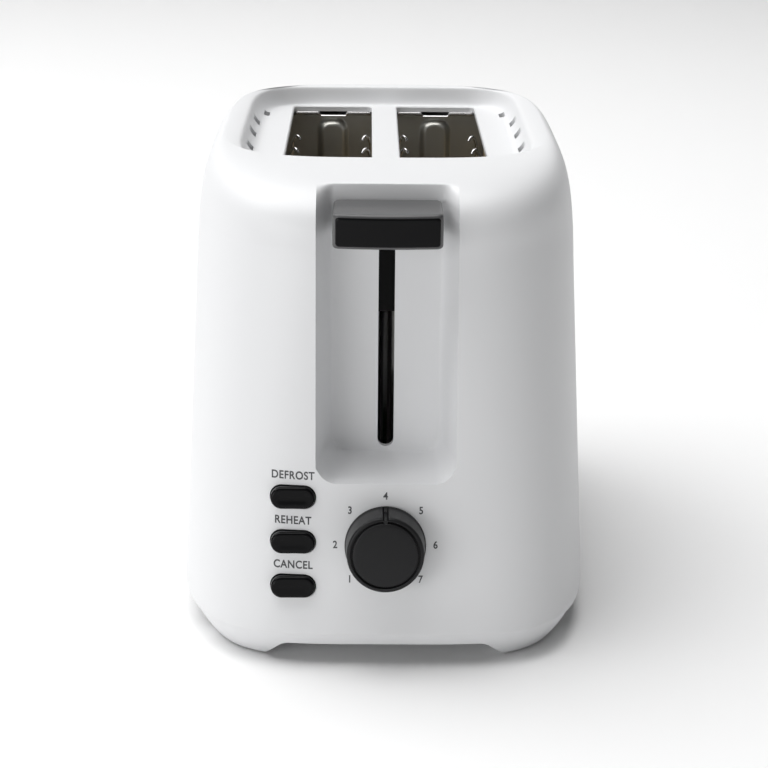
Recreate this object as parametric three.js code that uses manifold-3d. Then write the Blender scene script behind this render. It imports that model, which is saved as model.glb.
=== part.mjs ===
// A two-slice pop-up toaster as a bench assembly of separate pieces.
// Millimetres, +Z up. The lever and the controls are on the short end that faces -Y.
import * as THREE from 'three';
import { mergeVertices } from 'three/addons/utils/BufferGeometryUtils.js';
import Module from 'manifold-3d';

const wasm = await Module();
wasm.setup();

// ---- Driving sizes -------------------------------------------------------------------------
const HEIGHT = 185;
const SLOT_LENGTH = 140;
const SLOT_WIDTH = 36;
const SLOT_GAP = 11.5;
const SLOT_CORNER = 2.5;
const SIDE_BAND = 40.75; // slot edge to the side wall, at the seam
const FRONT_BAY = 89; // slot end to the front wall, at the seam
const REAR_BAY = 33; // slot end to the rear wall, at the seam

const SKIN = 2.5; // moulded wall
const SEAM_Z = 13;
const PIECE_GAP = 0.3; // between pieces that touch
const RUN_GAP = 0.5; // between pieces that move past each other
const SHEET = 1; // pressed steel
const FOOT_HEIGHT = 2;
const ARCH_HEIGHT = 8.4;
const ARCH_HALF_WIDTH = 39;
const ARCH_FLARE = 8;
const BASE_FLOOR = 2.6;
const BASE_INSET_TOP = 2;
const BASE_INSET_FLOOR = 10;

const FRONT_SLOPE = 0.1075; // lean of each wall, run over rise
const REAR_SLOPE = 0.061;
const SIDE_SLOPE = 0.044;
const SHOULDER_DROP = 25; // below the crest, where the shoulder starts
const SIDE_DROP = 40; // below the crest, where the sides start to turn in
const FRONT_DECK = 69; // seam to lip crest, in plan
const REAR_DECK = 24;
const SIDE_DECK = 16;
const RECESS_DEPTH = 8.5;
const RECESS_SIDE = 11;
const RECESS_FRONT = 13;
const RECESS_REAR = 6;
const VENT_COUNT = 5;
const VENT_PITCH = 28;
const VENT_LENGTH = 9;
const VENT_WIDTH = 2.6;

const CHANNEL_REAR = 34; // front seam to the channel floor, in plan
const CHANNEL_FLARE = 0.14; // half-width gained per mm towards the front
const CHANNEL_RADIUS = 7;
const CHANNEL_LEDGE = 13; // below the knob at the end of its travel
const LEVER_SLOT_WIDTH = 6;

const LEVER_TRAVEL = 76;
const KNOB_WIDTH = 40.4;
const KNOB_CLEARANCE = 1.4; // knob side to the channel wall, at the floor
const KNOB_HEIGHT = 13;
const KNOB_DROP = 8.3; // knob top below the crest
const KNOB_DEPTH = 25;
const ARM_WIDTH = 3.5;
const ARM_HEIGHT = 6;
const ROD_RADIUS = 2.5;
const ROD_BACK = 18.5; // front plate to the rod's axis
const SLIDER_HALF = 7;
const SLIDER_RISE = 9.2; // armature to the slider's foot
const LIFT_TOP = 106;
const LIFT_HEIGHT = 8;
const LIFT_SHEET = 1.2;
const FINGER_COUNT = 6;
const FINGER_LENGTH = 24;
const FINGER_WIDTH = 6;

const GUARD_WIRE = 0.8; // radius
const GUARD_EDGE = 1.75; // slot edge to the wire's axis
const GUARD_WIRES = 7;
const HEATER_OFFSET = 5.25; // slot edge to an outer card
const CARD_SHEET = 0.8;
const CARD_BOTTOM = 45;
const CARD_TOP_DROP = 25;
const RIBBON_TURNS = 8;
const RIBBON_SHEET = 0.5;
const RIBBON_HEIGHT = 1.5;
const REFLECTOR_OFFSET = 8.8;

const TRAY_HALF_WIDTH = 45;
const TRAY_HEIGHT = 4.4;
const TRAY_SHEET = 1;
const TRAY_HANDLE_DEPTH = 6.5;
const TRAY_HANDLE_HEIGHT = 7;

const DIAL_Z = 49.5;
const DIAL_RADIUS = 15.4;
const DIAL_CAP_RADIUS = 14.2;
const DIAL_BASE = 4;
const DIAL_LENGTH = 13.2;
const DIAL_INSERT_RADIUS = 12;
const SHAFT_RADIUS = 3;
const POT_SIDE = 16;
const POT_DEPTH = 10.5;
const BUTTON_X = -35;
const BUTTON_LOW_Z = 33;
const BUTTON_PITCH = 17.3;
const BUTTON_WIDTH = 16.8;
const BUTTON_HEIGHT = 8.5;
const BUTTON_PROUD = 2.6;
const BUTTON_TRAVEL = 2;
const BUTTON_CLEARANCE = 0.4;
const SWITCH_SIDE = 6;
const SWITCH_DEPTH = 3;

const MAGNET_X = 40;
const MAGNET_HALF = 8;
const ARMATURE_Z = 116;
const SPRING_X = -20;
const SPRING_RADIUS = 4;
const SPRING_WIRE = 0.6;
const SPRING_TURNS = 9;
const GLAND_RADIUS = 6;
const GLAND_X = 38;
const GLAND_Z = 27;

const RING_POINTS = 56;

// ---- Derived sizes --------------------------------------------------------------------------
const SLOT_CENTRE = (SLOT_GAP + SLOT_WIDTH) / 2;
const SLOT_OUTER = SLOT_CENTRE + SLOT_WIDTH / 2;
const HALF_WIDTH = SLOT_OUTER + SIDE_BAND;
const LENGTH = SLOT_LENGTH + FRONT_BAY + REAR_BAY;
const FRONT_Y = -LENGTH / 2;
const REAR_Y = LENGTH / 2;
const SLOT_FRONT = FRONT_Y + FRONT_BAY;
const SLOT_REAR = SLOT_FRONT + SLOT_LENGTH;
const SHOULDER_Z = HEIGHT - SHOULDER_DROP;
const SIDE_Z = HEIGHT - SIDE_DROP;
const RECESS_Z = HEIGHT - RECESS_DEPTH;
const LINER_TOP = RECESS_Z - SKIN - 2;
const FRONT_PLATE_Y = SLOT_FRONT - 2.5;
const REAR_PLATE_Y = SLOT_REAR + 1;
const PLATE_HALF = SLOT_OUTER + REFLECTOR_OFFSET + 2.5;
const CHASSIS_FOOT = ARCH_HEIGHT + BASE_FLOOR + PIECE_GAP;
const ROD_Y = FRONT_PLATE_Y - ROD_BACK;
const CHANNEL_Y = FRONT_Y + CHANNEL_REAR;
const CHANNEL_HALF_WIDTH = KNOB_WIDTH / 2 + KNOB_CLEARANCE;
const KNOB_TOP = HEIGHT - KNOB_DROP;
const KNOB_BOTTOM = KNOB_TOP - KNOB_HEIGHT;
const CHANNEL_BOTTOM = KNOB_BOTTOM - LEVER_TRAVEL - CHANNEL_LEDGE;
const ARM_TOP = KNOB_TOP - 5.5;
const ARM_BOTTOM = ARM_TOP - ARM_HEIGHT;
const LEAN = Math.atan(FRONT_SLOPE);
const FACE_INNER = SKIN + 0.4; // behind the wall's inner face, square to the wall
const BOARD_DEPTH = FACE_INNER + PIECE_GAP + POT_DEPTH + PIECE_GAP;
const BRACKET_Y = FRONT_PLATE_Y - 10.2;
const TRAY_Z = CHASSIS_FOOT + PIECE_GAP;
const TRAY_FRONT = SLOT_FRONT + 2;

// ---- Materials ------------------------------------------------------------------------------
function finish(color, roughness, metalness) {
  return new THREE.MeshStandardMaterial({ color, roughness, metalness });
}

const WHITE = finish(0xf1f1f0, 0.38, 0);
const BLACK = finish(0x1b1b1c, 0.45, 0);
const GLOSS_BLACK = finish(0x0d0d0e, 0.15, 0);
const STEEL = finish(0xa9aaa8, 0.32, 1);
const CHROME = finish(0xd9dadb, 0.12, 1);
const MICA = finish(0xa8926b, 0.7, 0);
const NICHROME = finish(0x6f6761, 0.5, 1);
const COPPER = finish(0xb26a3c, 0.4, 1);
const BOARD = finish(0x2f6a41, 0.55, 0);
const RUBBER = finish(0x2a2a2b, 0.85, 0);

// ---- Solids ---------------------------------------------------------------------------------
function toSolid(geometry) {
  const bare = geometry.clone();
  bare.deleteAttribute('normal');
  bare.deleteAttribute('uv');
  const merged = mergeVertices(bare, 1e-4);
  const vertProperties = new Float32Array(merged.attributes.position.array);
  const triVerts = new Uint32Array(merged.index.array);
  return new wasm.Manifold(new wasm.Mesh({ numProp: 3, vertProperties, triVerts }));
}

function toGeometry(solid) {
  const mesh = solid.getMesh();
  const geometry = new THREE.BufferGeometry();
  geometry.setAttribute('position', new THREE.BufferAttribute(mesh.vertProperties, 3));
  geometry.setIndex(new THREE.BufferAttribute(mesh.triVerts, 1));
  geometry.computeVertexNormals();
  return geometry;
}

function join(solids) {
  return solids.reduce((whole, piece) => whole.add(piece));
}

function blockGeometry(low, high) {
  const size = high.map((value, axis) => value - low[axis]);
  const geometry = new THREE.BoxGeometry(...size);
  geometry.translate(...low.map((value, axis) => value + size[axis] / 2));
  return geometry;
}

function block(low, high) {
  return toSolid(blockGeometry(low, high));
}

// A cylinder that stands on z = low.
function post(radius, low, high, x, y, sides = 20) {
  const geometry = new THREE.CylinderGeometry(radius, radius, high - low, sides);
  geometry.rotateX(Math.PI / 2);
  geometry.translate(x, y, (low + high) / 2);
  return toSolid(geometry);
}

// A cylinder that lies along Y.
function rodAlongY(radius, front, rear, x, z, sides = 20) {
  const geometry = new THREE.CylinderGeometry(radius, radius, rear - front, sides);
  geometry.translate(x, (front + rear) / 2, z);
  return toSolid(geometry);
}

// Joins closed rings of equal count into one capped solid. Rings run anticlockwise seen from above.
function loft(rings) {
  const count = rings[0].length;
  const points = rings.flat();
  const index = [];
  for (let level = 0; level < rings.length - 1; level += 1) {
    for (let step = 0; step < count; step += 1) {
      const a = level * count + step;
      const b = level * count + ((step + 1) % count);
      index.push(a, b, b + count, a, b + count, a + count);
    }
  }
  const last = (rings.length - 1) * count;
  const low = points.push(middleOf(rings[0])) - 1;
  const high = points.push(middleOf(rings[rings.length - 1])) - 1;
  for (let step = 0; step < count; step += 1) {
    const next = (step + 1) % count;
    index.push(low, next, step, high, last + step, last + next);
  }
  const geometry = new THREE.BufferGeometry().setFromPoints(points);
  geometry.setIndex(index);
  return toSolid(geometry);
}

function middleOf(ring) {
  const middle = new THREE.Vector3();
  ring.forEach((point) => middle.add(point));
  return middle.divideScalar(ring.length);
}

// A stadium outline in X and Z, extruded along Y from front to rear.
function stadium(width, height, front, rear) {
  const radius = height / 2;
  const reach = width / 2 - radius;
  const outline = new THREE.Shape();
  outline.absarc(reach, 0, radius, -Math.PI / 2, Math.PI / 2, false);
  outline.absarc(-reach, 0, radius, Math.PI / 2, (3 * Math.PI) / 2, false);
  const geometry = new THREE.ExtrudeGeometry(outline, {
    depth: rear - front,
    bevelEnabled: false,
    curveSegments: 10,
  });
  geometry.rotateX(Math.PI / 2);
  geometry.translate(0, rear, 0);
  return geometry;
}

// ---- Housing shape --------------------------------------------------------------------------
// One level of the housing: |x/a|^n + |y/b|^n = 1, about the middle of front and rear.
function ovalRing({ halfWidth, front, rear, power, z }) {
  const middle = (front + rear) / 2;
  const halfLength = (rear - front) / 2;
  const ring = [];
  for (let step = 0; step < RING_POINTS; step += 1) {
    const turn = (2 * Math.PI * step) / RING_POINTS;
    const across = Math.cos(turn);
    const along = Math.sin(turn);
    const reach = (Math.abs(across) ** power + Math.abs(along) ** power) ** (-1 / power);
    ring.push(new THREE.Vector3(halfWidth * across * reach, middle + halfLength * along * reach, z));
  }
  return ring;
}

// The side leans in up to SIDE_Z, and is a quarter ellipse from there to the crest.
function sideAt(z, inset) {
  const straight = HALF_WIDTH - SIDE_SLOPE * (Math.min(z, SIDE_Z) - SEAM_Z) - inset;
  const share = Math.max(z - SIDE_Z, 0) / (SIDE_DROP - inset);
  const crest = HALF_WIDTH - SIDE_DECK;
  return crest + (straight - crest) * Math.sqrt(Math.max(1 - share ** 2, 0));
}

function wallLevel(z, inset) {
  const rise = z - SEAM_Z;
  const share = rise / (SHOULDER_Z - SEAM_Z);
  return {
    halfWidth: sideAt(z, inset),
    front: FRONT_Y + FRONT_SLOPE * rise + inset,
    rear: REAR_Y - REAR_SLOPE * rise - inset,
    power: 4.2 - share,
    z,
  };
}

const CREST = {
  halfWidth: HALF_WIDTH - SIDE_DECK,
  front: FRONT_Y + FRONT_DECK,
  rear: REAR_Y - REAR_DECK,
  power: 3.8,
};

// Above the walls: a quarter ellipse at the rear, a fuller quarter curve at the front.
function shoulderLevel(share, inset) {
  const wall = wallLevel(SHOULDER_Z, inset);
  const swing = Math.sqrt(1 - share ** 2);
  const fullSwing = (1 - share ** 3) ** (1 / 3);
  const z = SHOULDER_Z + (SHOULDER_DROP - inset) * share;
  return {
    halfWidth: sideAt(z, inset),
    front: CREST.front + (wall.front - CREST.front) * fullSwing,
    rear: CREST.rear + (wall.rear - CREST.rear) * swing,
    power: wall.power + (CREST.power - wall.power) * share ** 2,
    z,
  };
}

// From the crest down to the recess floor along half a cosine wave.
function recessLevel(share, inset) {
  const drop = (RECESS_DEPTH * (1 - Math.cos(Math.PI * share))) / 2;
  const spread = inset * share;
  return {
    halfWidth: CREST.halfWidth - RECESS_SIDE * share + spread,
    front: CREST.front + RECESS_FRONT * share - spread,
    rear: CREST.rear - RECESS_REAR * share + spread,
    power: CREST.power + 2 * share,
    z: HEIGHT - inset - drop,
  };
}

function housingBody(inset, bottom) {
  const heights = [bottom, 60, 110, SIDE_Z, (SIDE_Z + SHOULDER_Z) / 2, SHOULDER_Z];
  const levels = heights.map((z) => wallLevel(z, inset));
  for (const turn of [0.2, 0.36, 0.5, 0.64, 0.78, 0.9, 1]) {
    levels.push(shoulderLevel(Math.sin((turn * Math.PI) / 2), inset));
  }
  for (const share of [0.25, 0.5, 0.75, 1]) {
    levels.push(recessLevel(share, inset));
  }
  return loft(levels.map(ovalRing));
}

function faceDepth(x, z) {
  const level = wallLevel(z, 0);
  const middle = (level.front + level.rear) / 2;
  const reach = (1 - Math.abs(x / level.halfWidth) ** level.power) ** (1 / level.power);
  return middle - ((level.rear - level.front) / 2) * reach;
}

// A frame on the front face: local -Y points square out of the leaning wall.
function faceFrame(x, z) {
  const frame = new THREE.Matrix4().makeRotationX(-LEAN);
  return frame.setPosition(x, faceDepth(x, z), z);
}

function cutFromFace(geometry, x, z) {
  return toSolid(geometry.applyMatrix4(faceFrame(x, z)));
}

// The lever channel as a front-view outline, carried along Y and widening towards the front.
function channelRing(halfWidth, bottom, top, radius, y) {
  const ring = [];
  const steps = 6;
  for (const side of [1, -1]) {
    for (let step = 0; step <= steps; step += 1) {
      const turn = (side > 0 ? step : steps - step) / steps * Math.PI / 2;
      const x = side * (halfWidth - radius + radius * Math.sin(turn));
      ring.push(new THREE.Vector3(x, y, bottom + radius - radius * Math.cos(turn)));
    }
    if (side > 0) {
      ring.push(new THREE.Vector3(halfWidth, y, top), new THREE.Vector3(-halfWidth, y, top));
    }
  }
  return ring;
}

function channelBody(grow) {
  const reach = 60;
  const rings = [0, reach].map((ahead) => channelRing(
    CHANNEL_HALF_WIDTH + CHANNEL_FLARE * ahead + grow,
    CHANNEL_BOTTOM - grow,
    HEIGHT + 20,
    CHANNEL_RADIUS + grow,
    CHANNEL_Y - ahead + grow,
  ));
  return loft(rings);
}

function slotCutter(side) {
  const outline = new THREE.Shape();
  const halfX = SLOT_WIDTH / 2 - SLOT_CORNER;
  const halfY = SLOT_LENGTH / 2 - SLOT_CORNER;
  outline.absarc(halfX, halfY, SLOT_CORNER, 0, Math.PI / 2, false);
  outline.absarc(-halfX, halfY, SLOT_CORNER, Math.PI / 2, Math.PI, false);
  outline.absarc(-halfX, -halfY, SLOT_CORNER, Math.PI, 1.5 * Math.PI, false);
  outline.absarc(halfX, -halfY, SLOT_CORNER, 1.5 * Math.PI, 2 * Math.PI, false);
  const geometry = new THREE.ExtrudeGeometry(outline, {
    depth: 3 * RECESS_DEPTH,
    bevelEnabled: false,
    curveSegments: 4,
  });
  geometry.translate(side * SLOT_CENTRE, SLOT_FRONT + SLOT_LENGTH / 2, RECESS_Z - RECESS_DEPTH);
  return toSolid(geometry);
}

function ventCutters() {
  const cutters = [];
  const x = CREST.halfWidth - RECESS_SIDE * 0.52;
  const middle = SLOT_FRONT + SLOT_LENGTH / 2 - 8;
  for (const side of [-1, 1]) {
    for (let count = 0; count < VENT_COUNT; count += 1) {
      const y = middle + VENT_PITCH * (count - (VENT_COUNT - 1) / 2);
      cutters.push(block(
        [side * x - VENT_WIDTH / 2, y - VENT_LENGTH / 2, RECESS_Z - RECESS_DEPTH],
        [side * x + VENT_WIDTH / 2, y + VENT_LENGTH / 2, HEIGHT + 5],
      ));
    }
  }
  return cutters;
}

const SCREW_X = HALF_WIDTH - 9.5;
const SCREW_Y = SLOT_LENGTH * 0.43;
const CORNERS = [[-1, -1], [1, -1], [-1, 1], [1, 1]];

// Screw posts stand on ribs of the side walls and stay inside the outer skin.
function screwPosts(outer) {
  const posts = CORNERS.map(([sideX, sideY]) => {
    const x = sideX * SCREW_X;
    const y = sideY * SCREW_Y;
    const wall = sideX * (HALF_WIDTH + 2);
    const rib = block(
      [Math.min(x, wall), y - 1.5, SEAM_Z + PIECE_GAP],
      [Math.max(x, wall), y + 1.5, SEAM_Z + 30],
    );
    const bore = post(1.8, SEAM_Z - 1, SEAM_Z + 22, x, y, 12);
    return post(4.5, SEAM_Z + PIECE_GAP, SEAM_Z + 28, x, y).add(rib).subtract(bore);
  });
  return join(posts).intersect(outer);
}

function outerHousing() {
  const bottom = SEAM_Z + PIECE_GAP;
  const outer = housingBody(0, bottom);
  const inner = housingBody(SKIN, bottom - 5).subtract(channelBody(SKIN));
  const cuts = [
    channelBody(0),
    slotCutter(-1),
    slotCutter(1),
    ...ventCutters(),
    block(
      [-LEVER_SLOT_WIDTH / 2, CHANNEL_Y - 1, CHANNEL_BOTTOM + 4],
      [LEVER_SLOT_WIDTH / 2, CHANNEL_Y + 2 * SKIN, ARM_TOP + 1.5],
    ),
    cutFromFace(stadium(2 * SHAFT_RADIUS + 1.2, 2 * SHAFT_RADIUS + 1.2, -9, 9), 0, DIAL_Z),
    block(
      [-TRAY_HALF_WIDTH - RUN_GAP - 1, REAR_Y - 20, 0],
      [TRAY_HALF_WIDTH + RUN_GAP + 1, REAR_Y + 20, TRAY_Z + TRAY_HANDLE_HEIGHT + RUN_GAP],
    ),
    rodAlongY(GLAND_RADIUS - 1.5 + PIECE_GAP, REAR_Y - 25, REAR_Y + 10, GLAND_X, GLAND_Z),
  ];
  for (let count = 0; count < 3; count += 1) {
    const hole = stadium(
      BUTTON_WIDTH + 2 * BUTTON_CLEARANCE,
      BUTTON_HEIGHT + 2 * BUTTON_CLEARANCE,
      -9,
      9,
    );
    cuts.push(cutFromFace(hole, BUTTON_X, BUTTON_LOW_Z + BUTTON_PITCH * count));
  }
  return outer.subtract(inner).add(screwPosts(outer)).subtract(join(cuts));
}

// ---- Base -----------------------------------------------------------------------------------
function baseLevel(z, inset) {
  return { ...wallLevel(SEAM_Z, inset), z };
}

function arch(alongX) {
  const wide = 2 * HALF_WIDTH + 20;
  const long = LENGTH + 20;
  const shape = new THREE.Shape();
  const half = alongX ? ARCH_HALF_WIDTH : LENGTH / 2 - HALF_WIDTH + ARCH_HALF_WIDTH;
  shape.moveTo(-half - ARCH_FLARE, -1);
  shape.lineTo(half + ARCH_FLARE, -1);
  shape.lineTo(half, ARCH_HEIGHT);
  shape.lineTo(-half, ARCH_HEIGHT);
  const depth = alongX ? long : wide;
  const geometry = new THREE.ExtrudeGeometry(shape, { depth, bevelEnabled: false });
  geometry.rotateX(Math.PI / 2);
  geometry.translate(0, depth / 2, 0);
  if (!alongX) {
    geometry.rotateZ(Math.PI / 2);
  }
  return toSolid(geometry);
}

function baseTray() {
  const bottom = FOOT_HEIGHT + PIECE_GAP;
  const outer = loft([
    ovalRing(baseLevel(bottom, BASE_INSET_FLOOR)),
    ovalRing(baseLevel(ARCH_HEIGHT, (BASE_INSET_TOP + BASE_INSET_FLOOR) / 2)),
    ovalRing(baseLevel(SEAM_Z, BASE_INSET_TOP)),
  ]);
  const inner = loft([
    ovalRing(baseLevel(ARCH_HEIGHT + BASE_FLOOR, BASE_INSET_TOP + SKIN + 2.5)),
    ovalRing(baseLevel(SEAM_Z + 3, BASE_INSET_TOP + SKIN)),
  ]);
  const trayNotch = block(
    [-TRAY_HALF_WIDTH - RUN_GAP, REAR_Y - 20, ARCH_HEIGHT + BASE_FLOOR],
    [TRAY_HALF_WIDTH + RUN_GAP, REAR_Y + 20, HEIGHT],
  );
  const holes = CORNERS.map(([x, y]) => post(1.8, 0, SEAM_Z + 5, x * SCREW_X, y * SCREW_Y, 12));
  return outer.subtract(join([inner, arch(true), arch(false), trayNotch, ...holes]));
}

const FOOT_X = HALF_WIDTH - 29;
const FOOT_Y = REAR_Y - 31;

function footPad() {
  const geometry = new THREE.CylinderGeometry(8, 8.5, FOOT_HEIGHT, 24);
  geometry.rotateX(Math.PI / 2);
  geometry.translate(0, 0, FOOT_HEIGHT / 2);
  return geometry;
}

// A pan-head screw, head down, its neck at z = 0.
function baseScrew() {
  const outline = [[0, -2.2], [2.4, -2.2], [3.4, -1.2], [3.4, 0], [1.5, 0], [1.5, 16], [0, 17.5]];
  const points = outline.map(([radius, z]) => new THREE.Vector2(radius, z));
  const geometry = new THREE.LatheGeometry(points, 14);
  geometry.rotateX(Math.PI / 2);
  return toGeometry(toSolid(geometry));
}

// ---- Crumb tray -----------------------------------------------------------------------------
const TRAY_REAR = REAR_Y - 6;

function crumbTray() {
  const pan = block(
    [-TRAY_HALF_WIDTH, TRAY_FRONT, TRAY_Z],
    [TRAY_HALF_WIDTH, TRAY_REAR, TRAY_Z + TRAY_HEIGHT],
  );
  const hollow = block(
    [-TRAY_HALF_WIDTH + TRAY_SHEET, TRAY_FRONT + TRAY_SHEET, TRAY_Z + TRAY_SHEET],
    [TRAY_HALF_WIDTH - TRAY_SHEET, TRAY_REAR - TRAY_SHEET, TRAY_Z + TRAY_HEIGHT + 5],
  );
  return pan.subtract(hollow);
}

function crumbTrayHandle() {
  const front = TRAY_REAR + PIECE_GAP;
  const rear = front + TRAY_HANDLE_DEPTH;
  const top = TRAY_Z + TRAY_HANDLE_HEIGHT;
  const body = block([-TRAY_HALF_WIDTH, front, TRAY_Z], [TRAY_HALF_WIDTH, rear, top]);
  const grip = block([-22, rear - 2.5, TRAY_Z + 1.5], [22, rear + 1, top - 2]);
  return body.subtract(grip);
}

// ---- Chassis --------------------------------------------------------------------------------
function endPlate(y) {
  return block([-PLATE_HALF, y, CHASSIS_FOOT], [PLATE_HALF, y + SHEET, LINER_TOP]);
}

function frontPlate() {
  const liftSlots = [-1, 1].map((side) => block(
    [side * SLOT_CENTRE - LIFT_SHEET / 2 - 1, FRONT_PLATE_Y - 1, LIFT_TOP - LIFT_HEIGHT - LEVER_TRAVEL - 2],
    [side * SLOT_CENTRE + LIFT_SHEET / 2 + 1, FRONT_PLATE_Y + 2 * SHEET, LIFT_TOP + 2],
  ));
  const hanger = block(
    [SPRING_X - 6, ROD_Y - 6, LINER_TOP - 4],
    [SPRING_X + 6, FRONT_PLATE_Y + SHEET, LINER_TOP - 3],
  );
  return endPlate(FRONT_PLATE_Y).subtract(join(liftSlots)).add(hanger);
}

// An upside-down U pressed into the sheet behind each slot.
function pressedRib(x) {
  const rib = 2.4;
  const half = 6.5;
  const top = LINER_TOP - 14;
  const low = CARD_BOTTOM;
  const y = [REAR_PLATE_Y - 0.8, REAR_PLATE_Y + 0.2];
  return join([
    block([x - half, y[0], low], [x - half + rib, y[1], top]),
    block([x + half - rib, y[0], low], [x + half, y[1], top]),
    block([x - half, y[0], top - rib], [x + half, y[1], top]),
  ]);
}

function rearPlate() {
  const doorway = block(
    [-TRAY_HALF_WIDTH - 2, REAR_PLATE_Y - 1, 0],
    [TRAY_HALF_WIDTH + 2, REAR_PLATE_Y + 2 * SHEET, TRAY_Z + TRAY_HANDLE_HEIGHT + 1.5],
  );
  const flanges = [-1, 1].map((side) => block(
    [side * SLOT_CENTRE - SLOT_WIDTH / 2 + 1.5, SLOT_REAR - 5, LINER_TOP - SHEET],
    [side * SLOT_CENTRE + SLOT_WIDTH / 2 - 1.5, REAR_PLATE_Y + SHEET, LINER_TOP],
  ));
  const notch = block(
    [SLOT_CENTRE - 3, SLOT_REAR - 6, LINER_TOP - 3],
    [SLOT_CENTRE + 3, SLOT_REAR - 2.5, LINER_TOP + 1],
  );
  const ribs = [-SLOT_CENTRE, SLOT_CENTRE].map(pressedRib);
  return endPlate(REAR_PLATE_Y).subtract(doorway).add(join([...flanges, ...ribs])).subtract(notch);
}

function reflector(side) {
  const x = side * (SLOT_OUTER + REFLECTOR_OFFSET);
  return block(
    [x - 0.4, FRONT_PLATE_Y + SHEET + PIECE_GAP, 22],
    [x + 0.4, REAR_PLATE_Y - PIECE_GAP, LINER_TOP - 1],
  );
}

// ---- Heaters and guards ---------------------------------------------------------------------
const CARD_FRONT = FRONT_PLATE_Y + SHEET + 3;
const CARD_REAR = REAR_PLATE_Y - 4;
const CARD_TOP = HEIGHT - CARD_TOP_DROP;

function micaCard(x) {
  return block([x - CARD_SHEET / 2, CARD_FRONT, CARD_BOTTOM], [x + CARD_SHEET / 2, CARD_REAR, CARD_TOP]);
}

// Flat turns around a card, joined by one run down its face.
function heaterRibbon(x) {
  const near = CARD_SHEET / 2 + PIECE_GAP;
  const far = near + RIBBON_SHEET;
  const low = CARD_BOTTOM + 5;
  const pitch = (CARD_TOP - 5 - RIBBON_HEIGHT - low) / (RIBBON_TURNS - 1);
  const turns = [];
  for (let count = 0; count < RIBBON_TURNS; count += 1) {
    const z = low + pitch * count;
    const outside = block(
      [x - far, CARD_FRONT - PIECE_GAP - RIBBON_SHEET, z],
      [x + far, CARD_REAR + PIECE_GAP + RIBBON_SHEET, z + RIBBON_HEIGHT],
    );
    const inside = block(
      [x - near, CARD_FRONT - PIECE_GAP, z - 1],
      [x + near, CARD_REAR + PIECE_GAP, z + RIBBON_HEIGHT + 1],
    );
    turns.push(outside.subtract(inside));
  }
  const run = block([x + near, CARD_FRONT + 6, low], [x + far, CARD_FRONT + 8, CARD_TOP - 5]);
  return join([...turns, run]);
}

function breadGuard(x) {
  const front = SLOT_FRONT + 4;
  const rear = SLOT_REAR - 8;
  const low = 26;
  const high = LINER_TOP - 3;
  const rails = [low, high].map((z) => rodAlongY(GUARD_WIRE, front, rear, x, z, 8));
  const wires = [];
  for (let count = 0; count < GUARD_WIRES; count += 1) {
    const y = front + 3 + ((rear - front - 6) * count) / (GUARD_WIRES - 1);
    wires.push(post(GUARD_WIRE * 0.9, low, high, x, y, 6));
  }
  return join([...rails, ...wires]);
}

// ---- Carriage -------------------------------------------------------------------------------
function breadLift(side) {
  const x = side * SLOT_CENTRE;
  const front = BRACKET_Y + SHEET + PIECE_GAP;
  const rear = REAR_PLATE_Y - 4;
  const bar = block(
    [x - LIFT_SHEET / 2, front, LIFT_TOP - LIFT_HEIGHT],
    [x + LIFT_SHEET / 2, rear, LIFT_TOP],
  );
  const fingers = [];
  const first = SLOT_FRONT + 10;
  for (let count = 0; count < FINGER_COUNT; count += 1) {
    const y = first + ((rear - 6 - first) * count) / (FINGER_COUNT - 1);
    fingers.push(block(
      [x - FINGER_LENGTH / 2, y - FINGER_WIDTH / 2, LIFT_TOP - 1.5],
      [x + FINGER_LENGTH / 2, y + FINGER_WIDTH / 2, LIFT_TOP],
    ));
  }
  return join([bar, ...fingers]);
}

function carriageBracket() {
  const low = LIFT_TOP - LIFT_HEIGHT - 2;
  const left = -SLOT_CENTRE - 6;
  const right = MAGNET_X + MAGNET_HALF;
  const plate = block([left, BRACKET_Y, low], [right, BRACKET_Y + SHEET, ARMATURE_Z + 24]);
  const window = block([14, BRACKET_Y - 1, ARMATURE_Z + 8], [right + 1, BRACKET_Y + 3, ARMATURE_Z + 25]);
  const springTab = block(
    [SPRING_X - 4, ROD_Y - SPRING_RADIUS, ARMATURE_Z],
    [SPRING_X + 4, BRACKET_Y + SHEET, ARMATURE_Z + 2],
  );
  const ear = block(
    [MAGNET_X - MAGNET_HALF, ROD_Y - 8, ARMATURE_Z + 2 + PIECE_GAP],
    [MAGNET_X + MAGNET_HALF, BRACKET_Y + SHEET, ARMATURE_Z + 3.5],
  );
  return plate.subtract(window).add(springTab).add(ear);
}

function armaturePlate() {
  return block(
    [MAGNET_X - MAGNET_HALF + 1, ROD_Y - 7, ARMATURE_Z],
    [MAGNET_X + MAGNET_HALF - 1, BRACKET_Y - RUN_GAP, ARMATURE_Z + 2],
  );
}

// The sliding block on the guide rod: its dark front shows through the lever slot.
function carriageSlider() {
  const top = ARM_TOP + 1;
  const body = block(
    [-SLIDER_HALF, ROD_Y - SLIDER_HALF, ARMATURE_Z + SLIDER_RISE],
    [SLIDER_HALF, BRACKET_Y - PIECE_GAP, top],
  );
  const bore = post(ROD_RADIUS + PIECE_GAP, 0, HEIGHT, 0, ROD_Y);
  return body.subtract(bore);
}

const KNOB_REAR = CHANNEL_Y - 1.6;
const KNOB_FRONT = KNOB_REAR - KNOB_DEPTH;

function leverArm() {
  return block(
    [-ARM_WIDTH / 2, KNOB_REAR - 14, ARM_BOTTOM],
    [ARM_WIDTH / 2, ROD_Y - SLIDER_HALF - PIECE_GAP, ARM_TOP],
  );
}

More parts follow.
